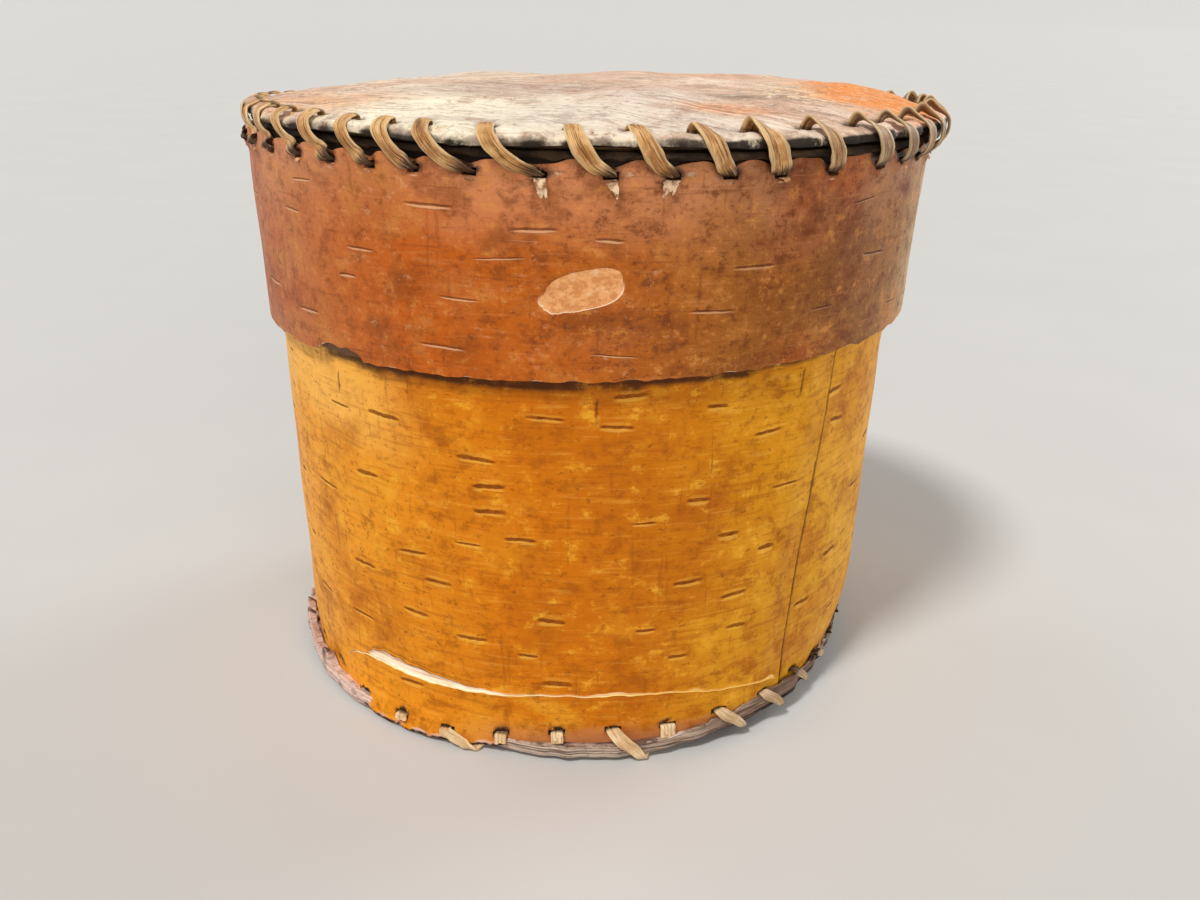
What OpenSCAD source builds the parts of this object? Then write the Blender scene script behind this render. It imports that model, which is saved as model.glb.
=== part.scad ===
// Round lidded box of birch bark, laced with split root.
// Millimetres, +Z up, origin on the floor under the middle of the base, front towards -Y.
// Angles "round" the box are measured from the front, positive towards +X.

/* [Box wall] */
// Outside radius of the wall sheet at its foot
foot_r = 87; // [75:0.1:90]
// Outside radius of the wall sheet at its upper edge
collar_r = 91.2; // [88:0.1:100]
// Height of the wall sheet's upper edge above the floor
collar_z = 116; // [90:0.5:150]
// Thickness of the wall sheet
sheet_t = 1.6; // [1:0.1:2.2]
// Width of the hidden lap behind the side seam
lap_w = 32; // [15:1:60]
// Where the side seam lies, in degrees round from the front
seam_angle = 43; // [-60:1:60]

/* [Neck and rim] */
// Thickness of the inner sheet
lining_t = 1.4; // [0.8:0.1:2]
// Height of the neck above the wall sheet's upper edge
neck_h = 41.8; // [30:0.2:60]
// Radial gap between the neck and the wall sheet's lap
lining_gap = 0.3; // [0.2:0.05:0.6]
// Height of the hoop inside the mouth
hoop_h = 7; // [4:0.5:12]
// Thickness of the hoop
hoop_t = 2.6; // [1.5:0.1:4]
// Number of ties round the hoop
tie_count = 24; // [12:1:36]
// Width of a tie
tie_w = 3; // [2:0.1:4]
// Thickness of a tie
tie_t = 1; // [0.6:0.1:1.2]

/* [Base] */
// How far the base stands out past the foot of the wall
base_lip = 1.6; // [0.5:0.1:4]
// Thickness of each of the two base plies
base_ply = 1.6; // [1:0.1:2.5]
// How far the base's rim is drawn up above the floor
base_rise = 2.4; // [2.2:0.1:4]
// Width of the drawn-up rim inside the base's slots
rim_margin = 2.65; // [1:0.05:8]
// Width of the slope between the flat middle and the rim
rise_w = 6; // [3:0.5:8]

/* [Lid] */
// How far the lid's band reaches down over the wall sheet
lid_overlap = 6.5; // [4:0.5:12]
// Gap between the lid's mouth and the wall sheet's upper edge
lid_clear = 0.4; // [0.3:0.05:0.8]
// How much the band widens from its mouth to its top
lid_flare = 2.9; // [1:0.1:5]
// Thickness of the band's outer ply
band_t = 1.4; // [0.8:0.1:1.8]
// Thickness of the band's inner ply
band_lining_t = 1.1; // [0.7:0.1:1.5]
// Gap between the band's two plies
ply_gap = 0.05; // [0.02:0.01:0.1]
// How far the top discs overhang the band
disc_overhang = 3; // [1:0.1:6]
// Thickness of the domed top disc
top_t = 2.6; // [1.5:0.1:3.5]
// Thickness of the disc under it
under_t = 2.6; // [1.5:0.1:3.5]
// Height of the dome
dome_h = 6; // [2:0.5:10]

/* [Lacing] */
// Width of the split root
root_w = 4; // [3:0.1:5]
// Thickness of the split root
root_t = 1.2; // [0.8:0.1:1.4]
// Clearance round the root in its slots
root_clear = 0.35; // [0.25:0.05:0.45]
// Number of stitches round the lid
lid_stitches = 44; // [36:2:46]
// How far in from the disc's edge the lid's upper slots lie
lid_slot_in = 9; // [7.5:0.1:9.4]
// How far below the discs the band's slots lie
lid_slot_drop = 4; // [3.5:0.5:16]
// Share of the pitch that a lid stitch slants over the edge
lid_slant = 0.72; // [0.4:0.02:0.8]
// Number of stitches round the base
base_stitches = 36; // [30:2:40]
// How far in from the base's edge its slots lie
base_slot_in = 9; // [8:0.1:11]
// Height of the wall's slots above the wall's foot
base_slot_up = 3.2; // [2:0.1:6]
// Share of the pitch that a base stitch slants over the edge
base_slant = 0.7; // [0.1:0.02:0.8]
// How far a broken stitch sticks out of the wall
stub_out = 1.8; // [0.8:0.1:3]

/* [Hidden] */
$fn = 96;
// Angle of the front in the XY plane
front = -90;
// Overlap, across and round, that fuses two stretches of the wall sheet
fuse = 0.3;
fuse_turn = 1.5;
// How far the sheet stays inside its own ring where it comes out from under the flap
lap_step = 0.25;
// How much shorter the sheet is at each edge there
lap_trim = 0.2;
// Distance by which a cutter passes the face that it cuts
past = 1;
// Gap between a part and what it is seated on, between the lid and the box
seat_gap = 0.3;
// Gap round a tie, and between the hoop and the neck
bind_gap = 0.25;
// Opening left in a butt seam
butt_gap = 0.6;
// Angle over which the sheet comes out from under its own flap
lap_turn = 90;
// Number of straight steps in the dome's profile
dome_steps = 16;

// Root: distance of its middle from the face that it lies on, and the size of its slots
root_off = root_t / 2 + root_clear;
// The same where it bends round a corner, measured along each of the two faces
root_turn = sqrt(2) * root_off;
slot_t = root_t + 2 * root_clear;
slot_w = root_w + 2 * root_clear;
// Bevel on the root's long edges
root_bevel = root_t / 2;

// Base
base_r = foot_r + base_lip;
base_slot_r = base_r - base_slot_in;
// Radius of the flat middle that the box stands on
rest_r = base_slot_r - slot_t / 2 - rim_margin - rise_w;
rim_under_z = base_rise;
rim_top_z = base_rise + 2 * base_ply;
foot_z = rim_top_z;
base_slot_z = foot_z + base_slot_up;
// The base's lacing goes round to the left, from a first stitch just left of the front
base_pitch = -360 / base_stitches;
base_first = 3;
// Stitches that are broken, whole ones among them and the run of whole ones, counted to the left from
// the front: the holes before that run have lost theirs
base_broken = [0, 1, 3, base_stitches - 2];
base_whole = [2, base_stitches - 1];
base_run_start = 9;
base_run_end = base_stitches - 3;
base_run_split = floor((base_run_start + base_run_end) / 2);

// Wall and neck
wall_rise = collar_z - foot_z;
wall_slope = (collar_r - foot_r) / wall_rise;
lap_angle = lap_w / foot_r * 180 / PI;
lining_in = 2 * sheet_t + lining_gap;
lining_foot_z = base_slot_z + slot_t / 2 + 2;
neck_r = collar_r - lining_in;
rim_z = collar_z + neck_h;
hoop_r = neck_r - lining_t - bind_gap;
hoop_top_z = rim_z - bind_gap;
hoop_foot_z = hoop_top_z - hoop_h;
tie_slot_z = hoop_foot_z - bind_gap - tie_t / 2;
tie_slot_t = tie_t + 2 * bind_gap;
tie_slot_w = tie_w + 2 * bind_gap;

// Lid
lid_foot_z = collar_z - lid_overlap;
lid_top_z = rim_z + bind_gap + tie_t + seat_gap;
band_h = lid_top_z - lid_foot_z;
band_foot_r = collar_r + lid_clear + band_lining_t + ply_gap + band_t;
band_top_r = band_foot_r + lid_flare;
band_slope = lid_flare / band_h;
band_in = band_t + ply_gap;
lid_in = band_in + band_lining_t;
disc_r = band_top_r + disc_overhang;
top_foot_z = lid_top_z + under_t;
lid_slot_r = disc_r - lid_slot_in;
lid_slot_z = lid_top_z - lid_slot_drop;
lid_pitch = 360 / lid_stitches;
// The lid's first stitch lies at the left
lid_first = -92.5;

function wall_r(z) = foot_r + wall_slope * (z - foot_z);
function band_r(z) = band_foot_r + band_slope * (z - lid_foot_z);
function dome(r) = dome_h * (1 - pow(r / disc_r, 2));
function top_z(r) = top_foot_z + top_t + dome(r);
function unit(v) = v / norm(v);

// Angle of a seam in the lid's band, midway between two of its slots, after a share of the stitches
function band_seam(share) = lid_first + lid_pitch * (lid_stitches * share - 0.5 + lid_slant);

// Point at radius r, height z and an angle round from the front
function place(r, z, a) = [r * cos(front + a), r * sin(front + a), z];

// One lid stitch as [radius, height, share of the pitch], up through the discs, over the edge, in
// through the band and up behind it
lid_loop = [
    [lid_slot_r, lid_top_z - root_off, 0],
    [lid_slot_r, top_z(lid_slot_r) + root_off, 0],
    [(lid_slot_r + disc_r) / 2, top_z((lid_slot_r + disc_r) / 2) + root_off, lid_slant * 0.25],
    [disc_r, top_z(disc_r) + root_turn, lid_slant * 0.5],
    [disc_r + root_turn, top_z(disc_r), lid_slant * 0.65],
    [disc_r + root_turn, lid_top_z, lid_slant * 0.8],
    [(disc_r + band_r(lid_slot_z)) / 2 + root_off, (lid_top_z + lid_slot_z) / 2, lid_slant * 0.92],
    [band_r(lid_slot_z) + root_off, lid_slot_z, lid_slant],
    [band_r(lid_slot_z) - lid_in - root_off, lid_slot_z, lid_slant],
    [band_r(lid_slot_z) - lid_in - 2 * root_off, (lid_slot_z + lid_top_z) / 2, (1 + lid_slant) / 2]];
// Rings of that stitch in its slots, where the root lies square to the radius
lid_square = [0, 1, 7, 8];

// One base stitch the same way, down through the base, out under its edge, up and in through the wall
base_loop = [
    [base_slot_r, rim_top_z + root_off, 0],
    [base_slot_r, rim_under_z - root_off, 0],
    [base_r, rim_under_z - root_turn, base_slant * 0.5],
    [base_r + root_turn, rim_under_z, base_slant * 0.7],
    [base_r + root_off, rim_top_z, base_slant * 0.85],
    [wall_r(base_slot_z) + root_off, base_slot_z, base_slant],
    [wall_r(base_slot_z) - 2 * sheet_t - root_off, base_slot_z, base_slant]];
base_square = [0, 1, 5, 6];

// A run of stitches: one point for each ring, with the rings behind the last stitch left off
function run_rings(loop, first, last, tail) = [for (i = [first:last])
    for (k = [0:len(loop) - 1 - (i == last ? tail : 0)]) [i, k]];
function run_points(loop, rings, start, pitch) = [for (ring = rings)
    let (spot = loop[ring[1]]) place(spot[0], spot[1], start + pitch * (ring[0] + spot[2]))];
function run_angles(loop, rings, start, pitch) = [for (ring = rings)
    start + pitch * (ring[0] + loop[ring[1]][2])];

// Outline of the flat root: width across, thickness along the second number
root_outline = [
    [root_w / 2, 0], [root_w / 2 - root_bevel, root_t / 2], [root_bevel - root_w / 2, root_t / 2],
    [-root_w / 2, 0], [root_bevel - root_w / 2, -root_t / 2], [root_w / 2 - root_bevel, -root_t / 2]];
root_sides = len(root_outline);

// Direction of a run at ring i, without its turn round the box where the root lies square
function heading(points, i, a, square) =
    let (d = points[min(i + 1, len(points) - 1)] - points[max(i - 1, 0)],
        e = [cos(a), sin(a), 0])
    unit(square ? d - (d * e) * e : d);

function root_rings(points, angles, rings, squares) = [for (i = [0:len(points) - 1])
    let (a = angles[i],
        along = heading(points, i, a, len(search(rings[i][1], squares)) > 0),
        e = [cos(a), sin(a), 0],
        across = unit(e - (e * along) * along),
        out = cross(along, across))
    [for (p = root_outline) points[i] + p[0] * across + p[1] * out]];

// Least distance between rings of one strand that lie three or more rings apart, on its first loops
function least_gap(mesh, count) = min([for (i = [0:count - 1])
    for (j = [i + 3:min(i + 2 * count, len(mesh) - 1)])
        for (p = mesh[i]) for (q = mesh[j]) norm(p - q)]);

// Solid of a run of stitches, as one unbroken strip
module root_run(loop, squares, first, last, start, pitch, tail) {
    rings = run_rings(loop, first, last, tail);
    mesh = root_rings(run_points(loop, rings, start, pitch), run_angles(loop, rings, start, pitch), rings,
        squares);
    n = root_sides;
    ends = len(mesh) - 1;
    sides = [for (i = [0:ends - 1]) for (k = [0:n - 1])
        let (a = i * n + k, b = i * n + (k + 1) % n)
        each [[a, b, b + n], [a, b + n, a + n]]];
    caps = [for (k = [1:n - 2])
        each [[0, k + 1, k], [ends * n, ends * n + k, ends * n + k + 1]]];
    echo(least_gap = least_gap(mesh, len(loop)));
    polyhedron(points = [for (ring = mesh) each ring], faces = concat(sides, caps));
}

// Slot for the root, at radius r, height z and an angle round from the front: long is its radial size
module root_slot(r, z, a, long, high) {
    rotate([0, 0, front + a])
        translate([r, 0, z])
            cube([long, slot_w, high], center = true);
}

module lid_disc_slots() {
    high = under_t + top_t + dome_h + 2 * past;
    for (i = [0:lid_stitches - 1])
        root_slot(lid_slot_r, lid_top_z + high / 2 - past, lid_first + lid_pitch * i, slot_t, high);
}

module band_slots() {
    long = 4 * lid_in;
    for (i = [0:lid_stitches - 1])
        root_slot(band_r(lid_slot_z), lid_slot_z, lid_first + lid_pitch * (i + lid_slant), long, slot_t);
}

module base_disc_slots() {
    high = rim_top_z + 2 * past;
    for (i = [0:base_stitches - 1])
        root_slot(base_slot_r, high / 2 - past, base_first + base_pitch * i, slot_t, high);
}

module wall_slots() {
    long = 8 * sheet_t;
    for (i = [0:base_stitches - 1])
        root_slot(wall_r(base_slot_z), base_slot_z, base_first + base_pitch * (i + base_slant), long, slot_t);
}

// Part of a conical sheet: its outside lies "inset" inside the wall's own face, and both its edges lie
// "trim" inside the wall's own edges
module wall_cone(inset, thick, turn, trim) {
    low = foot_z + trim;
    high = collar_z - trim;
    rotate_extrude(angle = turn)
        polygon([
            [wall_r(low) - inset - thick, low], [wall_r(low) - inset, low],
            [wall_r(high) - inset, high], [wall_r(high) - inset - thick, high]]);
}

// Outer sheet: the flap comes from the left and lies over the sheet's own other end
module wall_sheet() {
    color("#c88426")
    difference() {
        union() {
            rotate(front + seam_angle + lap_turn)
                wall_cone(0, sheet_t, 360 - lap_turn, 0);
            rotate(front + seam_angle - lap_angle)
                wall_cone(sheet_t - fuse, sheet_t + fuse - lap_step, lap_angle + fuse, 2 * lap_trim);
            rotate(front + seam_angle)
                intersection() {
                    translate([lap_step - sheet_t, 0, 0])
                        wall_cone(lap_step, sheet_t, 360, lap_trim);
                    rotate(-fuse_turn)
                        wall_cone(-past, 4 * sheet_t, lap_turn + 2 * fuse_turn, -past);
                }
        }
        wall_slots();
    }
}

// Inner sheet: it follows the wall, then stands straight as the neck inside the lid
module wall_lining() {
    foot = wall_r(lining_foot_z) - lining_in;
    seam = 360 * butt_gap / (2 * PI * neck_r);
    color("#d9a860")
    difference() {
        rotate(front + seam_angle + 180 + seam / 2)
            rotate_extrude(angle = 360 - seam)
                polygon([
                    [foot - lining_t, lining_foot_z], [foot, lining_foot_z],
                    [neck_r, collar_z], [neck_r, rim_z],
                    [neck_r - lining_t, rim_z], [neck_r - lining_t, collar_z]]);
        for (i = [0:tie_count - 1])
            rotate(front + seam_angle + 360 * (i + 0.5) / tie_count)
                translate([neck_r, 0, tie_slot_z])
                    cube([4 * lining_t, tie_slot_w, tie_slot_t], center = true);
    }
}

// A base ply: flat in the middle, drawn up at the rim
module base_ply_disc(z) {
    difference() {
        rotate_extrude()
            polygon([
                [0, z], [rest_r, z], [rest_r + rise_w, z + base_rise], [base_r, z + base_rise],
                [base_r, z + base_rise + base_ply], [rest_r + rise_w, z + base_rise + base_ply],
                [rest_r, z + base_ply], [0, z + base_ply]]);
        base_disc_slots();
    }
}

module base_upper() {
    color("#8a7563")
        base_ply_disc(base_ply);
}

module base_lower() {
    color("#6b5a4c")
        base_ply_disc(0);
}

// A run of whole base stitches, ending inside the wall
module base_run(first, last) {
    color("#d8c393")
        root_run(base_loop, base_square, first, last, base_first, base_pitch, 0);
}

module base_root_right() {
    base_run(base_run_split + 1, base_run_end);
}

module base_root_left() {
    base_run(base_run_start, base_run_split);
}

module base_root_singles() {
    for (i = base_whole)
        base_run(i, i);
}

// What is left of the broken stitches in the wall's slots
module base_root_stubs() {
    long = stub_out + 2 * sheet_t + root_off;
    color("#d8c393")
    for (i = base_broken)
        rotate([0, 0, front + base_first + base_pitch * (i + base_slant)])
            translate([wall_r(base_slot_z) + stub_out - long / 2, 0, base_slot_z])
                cube([long, root_w, root_t], center = true);
}

module rim_hoop() {
    color("#a8794a")
        rotate_extrude()
            translate([hoop_r - hoop_t, hoop_foot_z])
                square([hoop_t, hoop_h]);
}

// A tie goes in through the neck under the hoop and back over the rim
module rim_tie() {
    inner = [hoop_r - hoop_t - bind_gap, hoop_foot_z - bind_gap];
    outer = [neck_r + bind_gap, rim_z + bind_gap];
    wrap = [tie_t, tie_t];
    rotate([90, 0, 0])
        translate([0, 0, -tie_w / 2])
            linear_extrude(tie_w)
                difference() {
                    translate(inner - wrap)
                        square(outer - inner + 2 * wrap);
                    translate(inner)
                        square(outer - inner);
                }
}

module rim_ties() {
    color("#cdb27a")
    for (i = [0:tie_count - 1])
        rotate(front + seam_angle + 360 * (i + 0.5) / tie_count)
            rim_tie();
}

// One ply of the lid's band with a butt seam
module band_ply(inset, thick, seam_at) {
    seam = 360 * butt_gap / (2 * PI * band_foot_r);
    difference() {
        rotate(front + seam_at + seam / 2)
            rotate_extrude(angle = 360 - seam)
                polygon([
                    [band_foot_r - inset - thick, lid_foot_z], [band_foot_r - inset, lid_foot_z],
                    [band_top_r - inset, lid_top_z], [band_top_r - inset - thick, lid_top_z]]);
        band_slots();
    }
}

module lid_band() {
    color("#9a5630")
        band_ply(0, band_t, band_seam(3 / 4));
}

module lid_lining() {
    color("#8d7a6a")
        band_ply(band_in, band_lining_t, band_seam(1 / 2));
}

module lid_under() {
    color("#3a312c")
    difference() {
        translate([0, 0, lid_top_z])
            cylinder(h = under_t, r = disc_r);
        lid_disc_slots();
    }
}

// Domed disc of outer bark
module lid_top() {
    arc = [for (i = [0:dome_steps]) disc_r * i / dome_steps];
    color("#cfc4b4")
    difference() {
        rotate_extrude()
            polygon(concat(
                [for (r = arc) [r, top_foot_z + dome(r)]],
                [for (i = [dome_steps:-1:0]) [arc[i], top_z(arc[i])]]));
        lid_disc_slots();
    }
}

// A strand of the lid's lacing, ending inside the band
module lid_strand(first, last) {
    color("#c9a468")
        root_run(lid_loop, lid_square, first, last, lid_first, lid_pitch, 1);
}

module lid_root_front() {
    lid_strand(0, lid_stitches / 2 - 1);
}

module lid_root_back() {
    lid_strand(lid_stitches / 2, lid_stitches - 1);
}

wall_sheet();
wall_lining();
base_upper();
base_lower();
base_root_right();
base_root_left();
base_root_singles();
base_root_stubs();
rim_hoop();
rim_ties();
lid_band();
lid_lining();
lid_top();
lid_under();
lid_root_front();
lid_root_back();
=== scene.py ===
import math

import bmesh
import bpy
import numpy as np
from mathutils import Matrix, Vector


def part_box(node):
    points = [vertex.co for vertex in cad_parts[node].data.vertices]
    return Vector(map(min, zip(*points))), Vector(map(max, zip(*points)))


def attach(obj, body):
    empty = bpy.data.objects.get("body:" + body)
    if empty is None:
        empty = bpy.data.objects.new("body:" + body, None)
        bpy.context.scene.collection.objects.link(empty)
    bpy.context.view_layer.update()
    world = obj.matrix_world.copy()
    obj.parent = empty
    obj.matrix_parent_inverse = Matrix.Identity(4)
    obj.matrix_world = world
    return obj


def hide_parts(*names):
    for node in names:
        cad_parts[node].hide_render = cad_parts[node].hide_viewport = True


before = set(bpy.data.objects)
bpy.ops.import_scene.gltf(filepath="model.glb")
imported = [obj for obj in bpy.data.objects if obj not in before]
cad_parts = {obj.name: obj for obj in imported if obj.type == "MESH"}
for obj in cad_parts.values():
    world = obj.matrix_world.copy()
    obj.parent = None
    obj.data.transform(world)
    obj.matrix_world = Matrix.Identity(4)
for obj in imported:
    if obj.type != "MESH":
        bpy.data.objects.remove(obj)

MM = 0.001
DEG = math.pi / 180
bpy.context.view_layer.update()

# What the frame says of each piece
wall_low, wall_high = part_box("wall_sheet")
neck_low, neck_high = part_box("wall_lining")
band_low, band_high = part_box("lid_band")
under_low, under_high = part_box("lid_under")
top_low, top_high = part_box("lid_top")
hoop_low, hoop_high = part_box("rim_hoop")
base_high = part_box("base_lower")[1]
rim_top_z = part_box("base_upper")[1].z

# Box wall
FOOT_R = 87 * MM
COLLAR_R = wall_high.y
FOOT_Z = wall_low.z
COLLAR_Z = wall_high.z
SHEET_T = 1.6 * MM
SEAM = 43 * DEG
FLAP = 41 * DEG
FLAP_LEAN = 5.5 * DEG
LAP = 21 * DEG
DIVE = 90 * DEG
LEAN_FROM = 22 * MM
FLARE_TOP = 13 * MM
FLARE_H = 12 * MM
TUCK_TOP = 27 * MM
TUCK_H = 17 * MM
WALL_STEP = 0.5 * DEG

# Neck and rim
LINING_IN = 3.5 * MM
LINING_T = 1.4 * MM
NECK_R = neck_high.y
NECK_COLUMNS = 480
RIM_Z = neck_high.z
HOOP_R = hoop_high.x
HOOP_T = 2.6 * MM
HOOP_COLUMNS = 360
TIES = 24
TIE_W = 3 * MM
TIE_T = 1 * MM
TIE_GAP = 0.25 * MM
TIE_SLOT_Z = hoop_low.z - TIE_GAP - TIE_T / 2

# Base and its lacing, which goes round to the left
BASE_R = base_high.x
BASE_PLY = 1.6 * MM
BASE_RISE = rim_top_z - 2 * BASE_PLY
REST_R = 70 * MM
RISE_W = 6 * MM
BASE_STITCHES = 36
BASE_PITCH = -2 * math.pi / BASE_STITCHES
BASE_FIRST = 3 * DEG
BASE_SLANT = 0.7
BASE_SLOT_R = BASE_R - 9 * MM
WALL_HOLE_Z = FOOT_Z + 3.2 * MM
BROKEN = [0, 1, 3, 34]
STUB_SIZES = {3: 0.5, 34: 1.3}
STUB_T = 0.9 * MM
WHOLE = [2, 35]
LOST = range(4, 9)
LEFT_RUN = range(9, 22)
RIGHT_RUN = range(22, 34)

# Lid and its lacing
BAND_FOOT_R = 94.15 * MM
BAND_TOP_R = band_high.x
BAND_T = 1.4 * MM
BAND_IN = 1.45 * MM
BAND_LINING_T = 1.1 * MM
LID_FOOT_Z = band_low.z
LID_TOP_Z = band_high.z
DISC_R = top_high.x
TOP_T = 2.6 * MM
DOME_RISE = top_high.z - top_low.z - TOP_T + 0.8 * MM
LID_STITCHES = 44
LID_PITCH = 2 * math.pi / LID_STITCHES
LID_FIRST = -92.5 * DEG
LID_SLANT = 0.72
LID_SLOT_R = DISC_R - 6.6 * MM
BAND_HOLE_Z = LID_TOP_Z - 3.5 * MM
BAND_SEAM = LID_FIRST + LID_PITCH * (LID_STITCHES * 3 / 4 - 0.5 + LID_SLANT)
LINING_SEAM = LID_FIRST + LID_PITCH * (LID_STITCHES / 2 - 0.5 + LID_SLANT)
BUTT_GAP = 0.16 * MM
LID_COLUMNS = LID_STITCHES * 16
INNER_COLUMNS = LID_STITCHES * 12

# How the lid is out of true: drawn in at the left, full at the right, and sagging at the back, where the list
# has degrees, their spread and mm
LID_PULL = 3.4 * MM
BAND_PULL = 0.8 * MM
LID_DROOPS = [(-132, 36, 3.8), (130, 28, 3.4)]
DOME_POWER = 2.4
DOME_TIP = 0.02
DOME_BULGE = 1.6 * MM

# Split root, thinner on the lid, and its slots
ROOT_W = 4 * MM
ROOT_T = 1.2 * MM
LID_ROOT_T = 0.75 * ROOT_T
SLOT_T = 1.9 * MM

# Widths of the slots, in cells of each sheet
WALL_SLOT = 6
TIE_SLOT = 4
BAND_SLOT = 4
DISC_SLOT = 5

# The photograph's viewpoint
EYE = Vector((0, -354.5, 190.1)) * MM
YAW = 0.0148
PITCH = 0.3612
ROLL = 0.0216
LENS = 35.15

# Sunlight from around: where it comes from, its breadth in degrees and its strength
AIM = Vector((0, 0, 0.09))
SUNS = {
    "key_sun": ((-0.6, -0.85, 1.6), 10, 2.1),
    "front_sun": ((0.35, -1, 0.35), 40, 1.0),
    "right_sun": ((0.9, 0.7, 0.45), 30, 1.4),
    "left_sun": ((-0.9, 0.7, 0.5), 30, 0.5)}
ROOM_LIGHT = (1, 0.985, 0.96, 1)
ROOM_STRENGTH = 0.33
ROOM_SEEN = (224, 222, 218)

# The floor's radii and heights in metres
FLOOR_RINGS = [(30, 0), (36, 0), (48, 1), (60, 4)]
FLOOR_SIDES = 64


def place(r, a, z):
    """Points at radius r, angle a round from the front and height z."""
    return np.stack(np.broadcast_arrays(r * np.sin(a), -r * np.cos(a), z), axis=-1)


def ease(value, low, high):
    """0 below low, 1 above high and smooth between them, where high may be the lower one."""
    t = np.clip((value - low) / (high - low), 0, 1)
    return t * t * (3 - 2 * t)


def turn(a):
    """Angle brought to between minus and plus half a turn."""
    return (a + math.pi) % (2 * math.pi) - math.pi


def bell(distance, width):
    """1 at no distance, falling off smoothly over the width."""
    return np.exp(-(distance / width) ** 2)


def side(a, start, full, last, end):
    """1 from the degrees full to last round the box, fading to 0 at start and at end."""
    return ease(turn(a), start * DEG, full * DEG) * ease(turn(a), end * DEG, last * DEG)


def wall_r(z):
    """Radius of the wall's cone at a height."""
    return FOOT_R + (COLLAR_R - FOOT_R) * (z - FOOT_Z) / (COLLAR_Z - FOOT_Z)


def lid_pull(a):
    """How far the lid's discs are drawn in by their lacing, most of all at the left."""
    return LID_PULL * ease(-np.sin(a), 0.1, 1)


def lid_droop(a):
    """How far the lid's upper edge sags at the back left and the back right."""
    return sum(depth * MM * bell(turn(a - at * DEG), spread * DEG) for at, spread, depth in LID_DROOPS)


def band_r(z, a=0):
    """Radius of the lid's band at a height and an angle."""
    share = (z - LID_FOOT_Z) / (LID_TOP_Z - LID_FOOT_Z)
    drawn = BAND_PULL * ease(-np.sin(a), 0.2, 1)
    return BAND_FOOT_R + (BAND_TOP_R - BAND_FOOT_R - drawn) * share


def band_free(z):
    """0 at the lid's mouth, where the band slides on the collar, and 1 a little above it."""
    return ease(z, LID_FOOT_Z + 4 * MM, LID_FOOT_Z + 14 * MM)


def dome_z(r, a=0):
    """Height of the top disc, which is fullest a little to the right."""
    rise = DOME_RISE * (1 - (r / DISC_R) ** DOME_POWER)
    tip = DOME_TIP * r * np.sin(a) * (1 - (r / DISC_R) ** 2)
    bulge = DOME_BULGE * bell(turn(a - 95 * DEG), 50 * DEG) * bell(r - 74 * MM, 20 * MM)
    sag = lid_droop(a) * ease(r, 78 * MM, 97 * MM)
    return top_low.z + TOP_T + rise + tip + bulge - sag


class Waves:
    """Seeded smooth unevenness, in whole waves round the box, so that it meets itself."""

    def __init__(self, seed, fewest, most, up, count=24):
        pick = np.random.default_rng(seed)
        self.round = pick.integers(fewest, most + 1, count)
        self.up = pick.normal(0, up, count)
        self.start = pick.uniform(0, 2 * math.pi, count)

    def __call__(self, a, z):
        total = 0
        for turns, climb, start in zip(self.round, self.up, self.start):
            total = total + np.cos(turns * a + climb * z + start)
        return total / math.sqrt(len(self.round) / 2)


out_of_round = Waves(3, 2, 5, 14, 8)
bark_dents = Waves(4, 5, 22, 90)
band_dents = Waves(5, 4, 18, 110)
disc_dents = Waves(6, 2, 9, 60)
edge_nicks = Waves(7, 40, 170, 0, 40)
ply_nicks = Waves(8, 18, 90, 0, 32)
lip_swell = Waves(9, 3, 11, 0, 12)


def wall_uneven(a, z):
    """How far the hand-rolled wall stands off its cone. It is true where the lid slides."""
    free = ease(z, COLLAR_Z - 8 * MM, COLLAR_Z - 20 * MM)
    return free * (0.3 * out_of_round(a, z) + 0.12 * bark_dents(a, z)) * MM


# Meshes


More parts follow.
